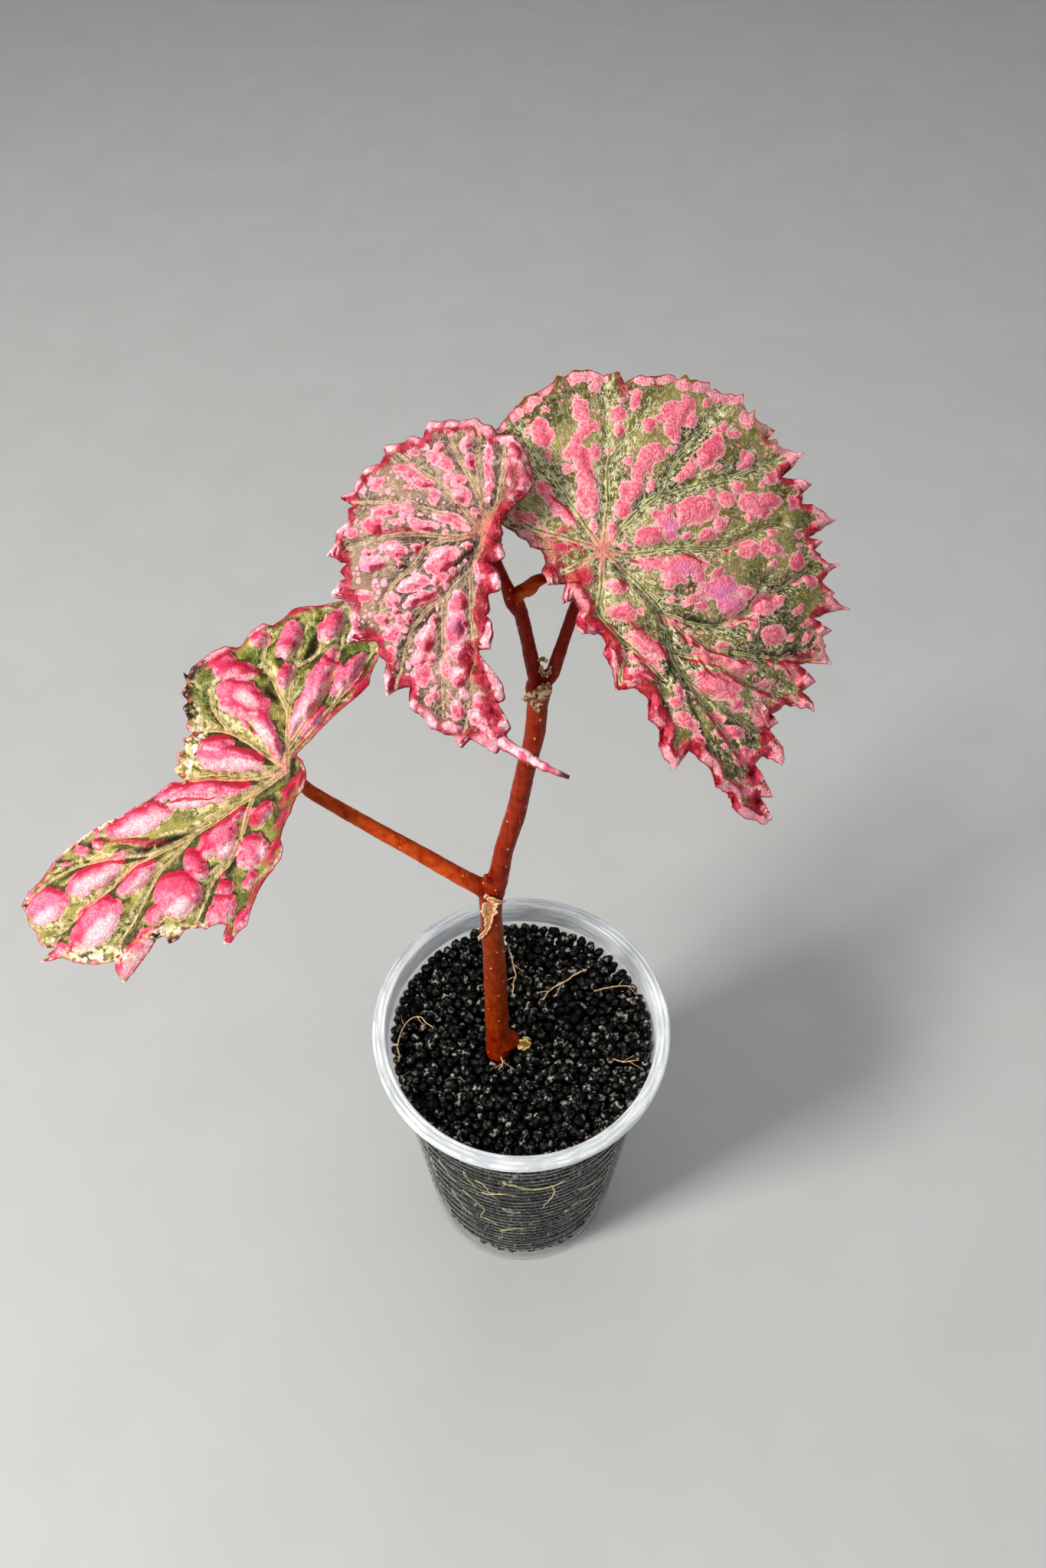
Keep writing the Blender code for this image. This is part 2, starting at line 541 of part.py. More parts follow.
def stem():
    """The cane with its foot bulge, upper branch and three leaf stalks, grown as one."""
    mat = material("cane_skin", (0.33, 0.07, 0.02), 0.35)
    cane = tube("stem", CANE, CANE_SIDES, 1, mat)
    parts = [tube("foot_bulge", FOOT_BULGE, STALK_SIDES, 1, mat),
             tube("upper_branch", UPPER_BRANCH, STALK_SIDES, 1, mat)]
    for name, leaf in LEAVES.items():
        stations = leaf["stalk"] + stalk_end(leaf)
        parts.append(tube(name + "_stalk", stations, STALK_SIDES, 1, mat))
    union(cane, parts)
    shade(cane, 50.0)


def scale_blade(name, spine):
    """A small dry scale: a thin curved strip that widens and narrows along its spine."""
    path = smooth_path(spine, 2)
    tangents = np.gradient(path[:, :3], axis=0)
    outward = np.array([0.0, -1.0, 0.25])
    vertices = []
    for station, tangent in zip(path, tangents):
        across = np.cross(outward, tangent)
        across /= np.linalg.norm(across)
        facing = np.cross(tangent, across)
        facing /= np.linalg.norm(facing)
        for side, depth in ((-1, 0.0), (1, 0.0), (1, SCALE_THICKNESS), (-1, SCALE_THICKNESS)):
            vertices.append(station[:3] + across * side * station[3] + facing * depth)
    faces = [(3, 2, 1, 0), tuple(range(len(vertices) - 4, len(vertices)))]
    for ring in range(len(path) - 1):
        for k in range(4):
            low = 4 * ring + k
            low_next = 4 * ring + (k + 1) % 4
            faces.append((low, low_next, low_next + 4, low + 4))
    return mesh_object(name, vertices, faces, material(name, (0.50, 0.30, 0.15), 0.8))


def root(name, route):
    """A thin root that lies on the granules, its two ends turned down a little."""
    lie = FILL_Z + 0.7 + GAP + ROOT_RADIUS
    stations = []
    for k, (x, y) in enumerate(route):
        at_end = k in (0, len(route) - 1)
        stations.append((x, y, lie, ROOT_RADIUS * (0.8 if at_end else 1.0)))
    tube(name, stations, ROOT_SIDES, 3, material(name, (0.45, 0.22, 0.12), 0.6))


def main():
    clear_scene()
    cup()
    soil()
    stem()
    blades = {name: leaf_blade(name, leaf) for name, leaf in LEAVES.items()}
    rolled_tip = tube("rolled_tip", LEAF_TIP, TIP_SIDES, 2, blades["leaf_centre"].data.materials[0])
    union(blades["leaf_centre"], [rolled_tip])
    for blade in blades.values():
        shade(blade, 60.0)
    tube("growing_tip", GROWING_TIP, TIP_SIDES, 2, material("tip_sheath", (0.45, 0.12, 0.03), 0.4))
    for name, spine in STIPULES.items():
        scale_blade(name, spine)
    for name, route in ROOTS.items():
        root(name, route)


main()
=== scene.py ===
"""The finish of a young potted begonia: three blotched leaves on a red cane, in a clear ribbed cup
of black granules.

Sizes are in millimetres unless a name says otherwise, in the part's own frame: the origin is the
centre of the cup's base and +Z is up. Names that end in PX hold pixels of the 1366 by 2047
photograph, read off it and carried onto the leaves along the photograph's lines of sight.
"""
import math
import bmesh
import bpy
import numpy as np
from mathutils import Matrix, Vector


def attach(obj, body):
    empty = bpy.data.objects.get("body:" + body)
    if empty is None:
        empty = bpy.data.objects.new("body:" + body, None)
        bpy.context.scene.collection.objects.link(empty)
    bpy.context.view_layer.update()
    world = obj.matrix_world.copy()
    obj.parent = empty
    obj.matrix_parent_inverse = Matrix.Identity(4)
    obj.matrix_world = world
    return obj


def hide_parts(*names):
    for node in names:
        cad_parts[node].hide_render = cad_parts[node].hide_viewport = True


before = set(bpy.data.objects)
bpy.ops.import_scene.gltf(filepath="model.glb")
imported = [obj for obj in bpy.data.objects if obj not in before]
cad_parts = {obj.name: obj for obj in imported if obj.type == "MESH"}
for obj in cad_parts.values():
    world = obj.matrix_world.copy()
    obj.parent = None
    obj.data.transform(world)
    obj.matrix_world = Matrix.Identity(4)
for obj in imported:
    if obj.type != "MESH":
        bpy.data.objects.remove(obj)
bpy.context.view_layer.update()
BODY = "root"
MM = 0.001

# The camera that took the photograph
CENTRE_PX = (683.0, 1023.5)
FOCAL_PX = 1540.0
PHOTO_HEIGHT_PX = 2047
SENSOR = 36.0
EYE = np.array([0.4, -138.0, 374.0])
TILT = math.radians(51.5)
AHEAD = np.array([0.0, math.cos(TILT), -math.sin(TILT)])
UPWARD = np.array([0.0, math.sin(TILT), math.cos(TILT)])
RIGHTWARD = np.array([1.0, 0.0, 0.0])

# Leaves. Each lies on the sheet that the part's source gives it. A vein is a line of pixels. A mark is
# an ellipse of pixels: (x, y, half length, half width, turn in degrees). Each leaf also gives, as (right,
# up) in the picture, the side of its puffs turned from the light, where shade is painted, with painted
# highlights on the other side.
BLADE = 0.5
EDGE_BLADE = 0.24
HUB_SWELL = 0.6
TOOTH_ROUNDS = 26
TOOTH_REACH = 0.85
SOFT_ROUNDS = 70
SIGHT_STEPS = 60
SIGHT_SHARE = 0.6
LATTICE = 97
FAR = 99.0
OUTSIDE = -9.0
VEIN_NARROWING = 0.036
RIDGE_WIDTH = 0.45
QUILT_DEPTH = 0.28
QUILT_WIDTH = 0.8
# Slow swell, fine swell and pimples of a leaf: height, size and seed
LEAF_SWELLS = [(0.35, 9.0, 6), (0.12, 2.3, 7), (0.05, 0.9, 8)]
# The depths in a mark, in mm, at which its colour starts and is full
MARK_EDGES = {"pale": (-0.5, 0.7), "crimson": (-0.5, 0.5), "lilac": (-1.5, 1.5), "shade_marks": (-0.5, 0.4),
              "fresh": (-1.5, 1.5), "crust": (-0.5, 0.3), "dry": (-0.7, 0.4)}

RIGHT_LEAF = {
    "node": "leaf_right", "slot": "leaf_olive", "hub": (9.0, 7.0), "rings": 104,
    "junction": (12.3, -2.0, 258.9), "normal": (0.18, -0.60, 0.78), "points_to": (0.52, -0.62, -0.59),
    "dome": 0.0062, "roll": 0.03, "roll_side": -1, "roll_start": 2.0,
    "puff": 0.35, "lumpy": 0.2, "sink": 1.5, "calm": 0.65, "sink_width": 1.5,
    "ridge": 0.25, "ruffle": 1.1, "fold": 0.8,
    "spread": 0.10, "belt": (-12.0, 4.0), "shade_side": (0.6, 0.8), "serration": 0.34, "blunt": 0,
    "crust": [], "dry": [],
    # marks of painted shade in the valleys and folds beside puffs and veins
    "shade_marks": [(790, 755, 28, 3, 90), (903, 806, 40, 3, 10), (956, 849, 42, 3, 17), (875, 865, 17, 4, 75),
             (956, 946, 44, 3, 33), (912, 944, 54, 3, 70), (1037, 853, 30, 3, 2), (995, 893, 12, 3, 10),
             (830, 877, 28, 4, 35), (873, 928, 30, 4, 80)],
    "fresh": [(893, 968, 16, 13, 0), (770, 810, 14, 8, 0), (810, 865, 9, 26, -30),
              (743, 723, 12, 16, 0), (1039, 901, 20, 14, 0), (1055, 747, 8, 40, 10),
              (960, 1048, 6, 20, -30), (985, 552, 8, 18, -30)],
    "margin": [
        (712, 722), (709, 716), (695, 712), (683, 703), (672, 696), (662, 690), (655, 686), (640, 655),
        (632, 610), (640, 570), (648, 560), (665, 541), (676, 529), (682, 523), (700, 513), (712, 505),
        (728, 493), (738, 491), (749, 484), (760, 484), (772, 483), (788, 489), (808, 486), (817, 498),
        (828, 492), (837, 489), (845, 492), (860, 490), (881, 490), (885, 495), (896, 490), (900, 495),
        (918, 498), (926, 501), (929, 508), (935, 506), (940, 511), (962, 516), (969, 516), (971, 524),
        (980, 538), (986, 535), (987, 542), (1000, 554), (1013, 561), (1004, 564), (1005, 569),
        (1019, 574), (1020, 579), (1040, 590), (1048, 593), (1040, 604), (1027, 619), (1040, 622),
        (1060, 632), (1052, 643), (1053, 653), (1071, 662), (1084, 676), (1091, 679), (1075, 690),
        (1062, 699), (1076, 707), (1068, 716), (1076, 722), (1075, 727), (1088, 736), (1096, 738),
        (1088, 743), (1079, 757), (1088, 770), (1093, 773), (1090, 777), (1098, 787), (1108, 796),
        (1085, 799), (1070, 806), (1085, 824), (1077, 831), (1082, 843), (1078, 846), (1085, 860),
        (1086, 868), (1060, 864), (1050, 866), (1064, 890), (1052, 902), (1062, 915), (1061, 928),
        (1030, 920), (1010, 935), (1016, 943), (1005, 957), (1018, 968), (1024, 990), (1020, 999),
        (1003, 988), (993, 993), (988, 1012), (1000, 1024), (1008, 1041), (990, 1042), (997, 1058),
        (1005, 1070), (1000, 1077), (985, 1072), (961, 1060), (955, 1040), (935, 1026), (928, 1005),
        (903, 980), (885, 1000), (876, 1004), (863, 982), (861, 974), (868, 955), (846, 937), (850, 915),
        (840, 902), (825, 898), (805, 903), (803, 880), (797, 865), (788, 855), (795, 840), (785, 825),
        (760, 829), (753, 808), (760, 792), (750, 781), (734, 788), (738, 768), (743, 758), (716, 763),
        (708, 748), (714, 730)],
    "veins": [
        [(788, 717), (830, 755), (870, 800), (880, 850), (900, 885), (935, 935), (985, 1010)],
        [(788, 717), (788, 760), (788, 800), (830, 845), (870, 885)],
        [(870, 800), (920, 815), (960, 810), (1010, 775), (1060, 740)],
        [(870, 800), (920, 840), (990, 855), (1083, 862)],
        [(788, 717), (830, 722), (900, 712), (950, 712), (1020, 680)],
        [(788, 717), (830, 670), (865, 645), (960, 620), (1030, 590)],
        [(865, 645), (885, 600), (930, 545), (960, 520)],
        [(788, 717), (795, 650), (797, 600), (830, 560), (850, 530)],
        [(797, 600), (795, 560), (792, 500)],
        [(788, 717), (755, 668), (735, 640), (700, 590), (680, 560)],
        [(788, 717), (740, 700), (700, 690), (660, 670)],
        [(788, 717), (760, 735), (735, 745)],
        [(900, 885), (950, 925), (1000, 955)], [(880, 850), (935, 862), (980, 890), (1045, 915)],
        [(830, 845), (815, 870), (812, 893)]],
    "rose": [
        (758, 535, 19, 14, 80), (768, 558, 13, 12, 0), (707, 566, 19, 14, 60), (717, 594, 6, 6, 0),
        (711, 536, 4, 4, 0), (685, 563, 4, 4, 0), (752, 585, 18, 10, -70), (757, 573, 10, 8, 0),
        (764, 600, 22, 14, 80), (768, 625, 20, 13, 85), (768, 655, 20, 16, 90), (742, 610, 7, 6, 0),
        (780, 592, 10, 8, 60), (810, 540, 12, 12, 0), (810, 562, 7, 7, 0), (800, 588, 5, 5, 0),
        (830, 522, 12, 8, 80), (811, 519, 5, 4, 0), (885, 540, 20, 17, 20), (880, 560, 14, 10, 70),
        (897, 530, 12, 10, 0), (904, 548, 12, 8, 90), (862, 548, 8, 5, -20), (848, 556, 11, 10, 0),
        (878, 582, 6, 6, 0), (845, 600, 22, 13, -60), (858, 592, 14, 12, -60), (833, 615, 12, 10, 90),
        (848, 634, 6, 6, 0), (820, 600, 7, 6, 0), (823, 640, 16, 15, 90), (815, 662, 13, 10, -10),
        (710, 640, 16, 11, 60), (725, 660, 18, 9, 50), (738, 670, 18, 9, 45), (924, 526, 6, 6, 0),
        (895, 521, 6, 5, 0), (942, 558, 9, 7, -20), (959, 566, 10, 7, -40), (930, 585, 22, 13, -45),
        (922, 600, 12, 9, 0), (898, 614, 18, 9, -45), (976, 597, 12, 9, -60), (958, 611, 3, 3, 0),
        (938, 607, 4, 3, 0), (1012, 621, 12, 8, -30), (996, 629, 4, 4, 0), (967, 638, 10, 9, 0),
        (985, 656, 18, 14, 0), (1005, 652, 13, 12, 0), (998, 668, 8, 7, 0), (950, 653, 12, 11, 0),
        (930, 648, 7, 6, 90), (912, 668, 26, 18, -5), (878, 665, 12, 7, 0), (1036, 657, 10, 8, -50),
        (979, 674, 5, 5, 0), (942, 685, 11, 8, -60), (925, 700, 12, 8, -10), (1010, 694, 6, 6, 0),
        (1044, 699, 5, 5, 0), (895, 697, 6, 5, 0), (868, 676, 20, 10, 30), (845, 697, 18, 15, -10),
        (874, 697, 11, 8, 0), (979, 716, 13, 12, -60), (1006, 715, 15, 13, -10), (1010, 736, 7, 5, -60),
        (952, 717, 7, 5, -30), (965, 707, 4, 3, 0), (1047, 713, 4, 3, 0), (1041, 732, 12, 11, -60),
        (1060, 758, 11, 10, -30), (1045, 760, 5, 4, -20), (895, 738, 32, 15, -5), (850, 735, 24, 8, 5),
        (880, 758, 18, 10, 10), (912, 752, 12, 10, 90), (940, 770, 28, 15, -5), (937, 750, 10, 7, -20),
        (955, 790, 20, 12, -10), (975, 772, 14, 10, 0), (1003, 790, 22, 14, -30), (1042, 797, 9, 5, -40),
        (908, 783, 14, 6, -10), (916, 793, 7, 5, 0), (965, 810, 18, 6, -15), (1010, 829, 17, 11, -20),
        (985, 818, 9, 6, -40), (980, 832, 5, 4, 90), (1032, 832, 6, 5, -60), (1054, 811, 10, 4, -35),
        (1053, 830, 10, 5, -50), (1063, 842, 5, 3, -60), (885, 810, 16, 8, 20), (903, 832, 12, 10, 20),
        (918, 843, 14, 8, 30), (945, 843, 10, 4, 0), (925, 858, 24, 9, 0), (958, 868, 28, 9, 20),
        (940, 895, 30, 15, 5), (950, 908, 14, 10, 0), (920, 882, 10, 8, 0), (1007, 860, 6, 5, -30),
        (1030, 866, 16, 9, -10), (1035, 880, 10, 5, 60), (810, 765, 14, 11, 10), (815, 800, 16, 12, 40),
        (850, 843, 28, 9, 35), (842, 862, 26, 9, 30), (840, 880, 18, 6, 20), (885, 902, 10, 6, 60),
        (886, 918, 11, 7, 20), (897, 942, 18, 9, 30), (915, 968, 10, 7, 45), (905, 878, 5, 3, 0),
        (965, 920, 9, 8, 0), (979, 932, 4, 4, 0), (936, 938, 11, 7, 20), (955, 956, 17, 9, 15),
        (947, 971, 5, 4, 0), (998, 906, 14, 9, 0), (997, 893, 10, 3, -10), (993, 924, 10, 5, 0),
        (992, 940, 10, 8, 90), (975, 988, 18, 12, 0), (988, 1003, 8, 8, -40), (966, 1020, 7, 4, 10),
        (977, 1033, 12, 6, 20), (987, 1055, 9, 8, 30), (1048, 885, 10, 7, 60), (872, 983, 10, 8, 60),
        (802, 692, 15, 6, -80), (815, 712, 7, 4, -10), (778, 684, 8, 5, 80), (835, 797, 4, 3, 0),
        (878, 780, 6, 3, 0), (680, 675, 22, 9, 10), (710, 690, 9, 6, 30)],
    # pale marks: partly the leaf's own pale pink, partly painted highlight on puffs and margin lobes
    "pale": [
        (711, 510, 8, 7, -40), (696, 524, 9, 8, -40), (674, 541, 11, 8, -40), (651, 558, 10, 8, -45),
        (751, 497, 10, 9, -10), (770, 492, 24, 8, 0), (778, 506, 10, 8, 90), (840, 497, 12, 7, -10),
        (870, 494, 14, 6, 0), (892, 503, 10, 9, 0), (915, 505, 14, 8, 15), (935, 515, 12, 7, 15),
        (958, 520, 14, 8, 5), (975, 545, 14, 9, 60), (757, 777, 20, 7, 45), (695, 705, 18, 5, 20)],
    # crimson marks: partly the leaf's own red, partly painted shade on slopes and folds turned from the light
    "crimson": [
        (815, 505, 10, 5, 80), (735, 715, 14, 7, 40), (750, 712, 12, 5, 35), (735, 690, 12, 5, -20),
        (718, 742, 12, 8, 90), (765, 750, 16, 11, 50), (780, 815, 12, 8, 20), (835, 823, 30, 4, 38),
        (935, 880, 16, 3, 5), (868, 930, 16, 6, 60), (812, 897, 12, 6, 40),
        (848, 925, 16, 7, 70), (866, 962, 14, 7, 90), (905, 978, 16, 8, 50), (930, 1012, 14, 9, 60),
        (955, 1046, 12, 8, 80), (792, 850, 14, 5, 75), (760, 816, 12, 6, 60), (687, 529, 9, 3, 60),
        (705, 513, 9, 3, 70), (722, 503, 8, 3, 80), (740, 494, 9, 3, 70), (812, 493, 8, 4, 70),
        (856, 497, 8, 3, 80), (898, 498, 7, 3, 70), (941, 513, 8, 3, 100), (660, 546, 7, 3, 40)],
    "lilac": [(945, 778, 22, 14, 0), (878, 688, 14, 9, 30), (895, 745, 12, 8, 0)],
}
CENTRE_LEAF = {
    "node": "leaf_centre", "slot": "leaf_brown", "hub": (5.0, -7.0), "rings": 96,
    "junction": (-5.1, -4.0, 264.1), "normal": (-0.28, -0.58, 0.76), "points_to": (-0.13, -0.765, -0.63),
    "dome": 0.008, "roll": 0.10, "roll_side": 1, "roll_start": 2.0,
    "puff": 0.85, "lumpy": 0.5, "sink": 0.7, "calm": 0.0, "sink_width": 1.1,
    "ridge": 0.4, "ruffle": 1.2, "fold": 0.7,
    "spread": 0.06, "belt": (-99.0, -98.0), "shade_side": (0.7, -0.7), "serration": 0.30, "blunt": 2,
    # the last list on the next line holds marks of painted shade in the valleys beside puffs and veins
    "crust": [], "dry": [], "shade_marks": [(562, 702, 40, 2, 3), (600, 735, 3, 24, 30), (545, 815, 34, 3, -50)],
    "fresh": [(629, 836, 8, 10, 0), (606, 560, 14, 6, 0)],
    "margin": [
        (655, 690), (658, 697), (643, 703), (657, 712), (660, 722), (659, 732), (634, 730), (650, 746),
        (657, 760), (655, 773), (632, 773), (638, 788), (638, 801), (625, 803), (638, 808), (645, 815),
        (641, 820), (645, 832), (641, 849), (615, 847), (608, 855), (622, 880), (635, 876), (650, 881),
        (652, 886), (660, 903), (662, 914), (640, 920), (636, 925), (648, 937), (660, 938), (672, 951),
        (657, 958), (668, 969), (668, 980), (652, 975), (651, 988), (635, 975), (628, 976), (612, 962),
        (604, 980), (591, 960), (583, 960), (558, 948), (548, 930), (541, 934), (531, 912), (532, 895),
        (515, 900), (508, 911), (501, 888), (500, 860), (490, 852), (490, 836), (470, 838), (456, 841),
        (457, 815), (455, 800), (460, 785), (440, 782), (435, 775), (443, 757), (450, 755), (441, 747),
        (448, 733), (428, 727), (436, 708), (438, 692), (452, 676), (450, 662), (458, 657), (443, 650),
        (460, 638), (463, 628), (475, 619), (475, 610), (493, 604), (495, 597), (505, 593), (500, 584),
        (522, 577), (530, 577), (535, 566), (550, 572), (551, 563), (558, 555), (563, 550), (575, 550),
        (583, 548), (592, 546), (600, 549), (616, 544), (631, 551), (643, 555), (646, 566), (658, 562),
        (666, 568), (673, 566), (672, 574), (684, 577), (677, 583), (690, 588), (684, 594), (695, 603),
        (687, 608), (698, 617), (690, 622), (698, 632), (690, 637), (694, 645), (684, 642), (683, 652),
        (675, 648), (675, 660), (662, 664), (650, 680)],
    "veins": [
        [(633, 692), (625, 715), (613, 745), (613, 800), (617, 850), (612, 900), (605, 955)],
        [(612, 745), (580, 780), (577, 830), (577, 880), (577, 950)],
        [(580, 780), (550, 800), (530, 840), (515, 900)],
        [(633, 692), (600, 700), (560, 710), (540, 735), (510, 765), (495, 800)],
        [(600, 700), (520, 697), (450, 715)], [(633, 692), (600, 680), (560, 665), (500, 655), (450, 655)],
        [(633, 692), (610, 670), (585, 640), (550, 615), (510, 585)],
        [(633, 692), (625, 650), (605, 610), (585, 570)], [(633, 692), (630, 660), (622, 610), (625, 555)],
        [(633, 692), (645, 660), (655, 620), (657, 570)]],
    "rose": [
        (540, 593, 5, 5, 0), (527, 612, 12, 7, 0), (538, 620, 14, 7, 15), (552, 632, 14, 11, 10),
        (568, 648, 9, 8, 90), (493, 632, 9, 9, 0), (532, 639, 5, 5, 0), (502, 664, 18, 9, -15),
        (487, 683, 18, 12, 0), (528, 667, 9, 9, 0), (518, 682, 7, 6, 0), (505, 692, 4, 4, 0),
        (548, 683, 19, 9, 5), (572, 585, 11, 9, 90), (562, 600, 12, 8, 30), (580, 605, 12, 11, 60),
        (586, 562, 4, 4, 0), (614, 566, 4, 4, 0), (606, 578, 11, 8, 85), (612, 599, 11, 8, 85),
        (591, 609, 4, 4, 0), (588, 620, 5, 4, 0), (582, 628, 8, 6, 60), (601, 623, 9, 8, 40),
        (602, 645, 15, 12, 85), (617, 665, 5, 5, 0), (622, 671, 4, 4, 0), (637, 588, 13, 7, 90),
        (637, 613, 14, 8, 85), (637, 633, 9, 8, 90), (585, 677, 24, 9, 25), (577, 694, 4, 4, 0),
        (460, 697, 8, 7, 90), (483, 721, 7, 6, 0), (488, 737, 17, 10, -5), (517, 717, 17, 11, 5),
        (523, 733, 3, 3, 0), (544, 716, 7, 6, 0), (553, 711, 4, 3, 90), (474, 779, 12, 8, -10),
        (455, 780, 10, 6, 0), (489, 768, 4, 4, 0), (513, 782, 10, 10, 0), (540, 762, 22, 12, -10),
        (548, 782, 18, 8, -20), (575, 733, 26, 16, -30), (592, 745, 5, 4, 0), (575, 757, 13, 9, -20),
        (608, 712, 6, 5, 20), (499, 806, 11, 8, -20), (517, 802, 6, 6, 0), (536, 804, 6, 5, -60),
        (510, 827, 14, 11, -30), (522, 813, 9, 6, 80), (512, 848, 7, 5, 0), (564, 805, 7, 6, 0),
        (558, 832, 21, 11, -70), (597, 785, 15, 10, -75), (595, 820, 20, 13, -80), (605, 817, 8, 6, 90),
        (584, 847, 6, 5, 90), (600, 852, 16, 12, -30), (569, 790, 3, 3, 0), (493, 857, 8, 8, 0),
        (508, 857, 11, 9, 60), (548, 860, 13, 12, 0), (550, 880, 14, 13, 60), (561, 863, 6, 6, 0),
        (567, 888, 3, 3, 0), (567, 897, 5, 3, -40), (563, 911, 10, 8, -60), (587, 907, 4, 4, 0),
        (582, 872, 14, 6, 80), (597, 886, 13, 9, 80), (597, 927, 12, 8, 80), (620, 905, 5, 4, 0),
        (619, 918, 9, 6, 80), (622, 938, 15, 11, 40), (632, 955, 8, 6, 80), (652, 963, 4, 4, 0),
        (622, 740, 12, 4, 80), (628, 757, 10, 6, -60), (630, 790, 8, 6, 80), (660, 603, 10, 4, 85)],
    # pale marks: partly the leaf's own pale pink, partly painted highlight on puffs and margin lobes
    "pale": [
        (568, 555, 9, 6, 0), (540, 572, 8, 7, -10), (512, 585, 10, 7, -10), (484, 611, 9, 7, -20),
        (469, 636, 10, 7, 80), (455, 648, 11, 7, -10), (448, 688, 12, 10, 90), (437, 718, 10, 8, 70),
        (442, 767, 10, 7, 80), (461, 805, 10, 7, 80), (464, 828, 9, 9, 0), (592, 550, 8, 6, -10),
        (616, 552, 14, 7, 0), (638, 560, 7, 7, 0), (658, 570, 9, 7, 0), (505, 888, 12, 7, 80),
        (542, 922, 6, 6, 0), (562, 940, 10, 8, 20), (588, 947, 9, 7, 40), (600, 965, 8, 6, 0),
        (625, 967, 11, 5, 10), (654, 718, 5, 10, 0), (690, 604, 4, 3, 0), (691, 632, 4, 3, 0),
        (650, 758, 5, 10, 0), (641, 828, 4, 14, 0), (655, 898, 5, 12, -20), (662, 946, 7, 6, 0),
        (572, 585, 5, 3, 90), (606, 578, 5, 3, 85), (602, 645, 7, 5, 85), (570, 728, 12, 4, -30),
        (538, 758, 12, 5, -10), (600, 850, 9, 5, -30), (558, 826, 10, 4, -70), (622, 936, 8, 4, 40),
        (548, 862, 6, 4, 0), (512, 714, 7, 4, 0), (637, 648, 5, 3, 0), (606, 905, 4, 7, 0),
        (668, 590, 7, 4, 40), (681, 611, 5, 6, 0), (664, 628, 6, 3, 60), (683, 629, 4, 6, 0),
        (671, 603, 4, 4, 0), (672, 650, 4, 5, 0), (659, 600, 4, 6, 0)],
    # crimson marks: partly the leaf's own red, partly painted shade on slopes and folds turned from the light
    "crimson": [
        (557, 571, 7, 5, 0), (530, 580, 8, 5, -30), (503, 603, 8, 6, -30), (477, 624, 8, 5, -40),
        (458, 666, 6, 9, 0), (440, 703, 8, 5, 0), (448, 742, 6, 9, 0), (578, 553, 5, 7, 0),
        (607, 556, 5, 8, 0), (643, 569, 5, 8, 0), (490, 840, 8, 7, 0), (535, 908, 6, 9, 0),
        (674, 590, 6, 14, -20), (684, 622, 5, 14, -8), (676, 646, 8, 6, 0), (665, 612, 7, 32, 8),
        (644, 712, 7, 8, 0), (640, 742, 8, 9, 0),
        (628, 820, 8, 12, 0), (633, 893, 9, 12, 0), (655, 942, 6, 5, 0), (640, 775, 9, 10, 0),
        (655, 672, 10, 12, 0), (575, 948, 5, 6, 0), (610, 968, 5, 5, 0), (560, 781, 16, 3, -35),
        (590, 756, 10, 3, -50), (560, 843, 10, 3, -60), (520, 693, 20, 3, 0)],
    "lilac": [(464, 830, 8, 7, 0), (604, 820, 8, 10, 0), (488, 740, 8, 6, 0)],
}
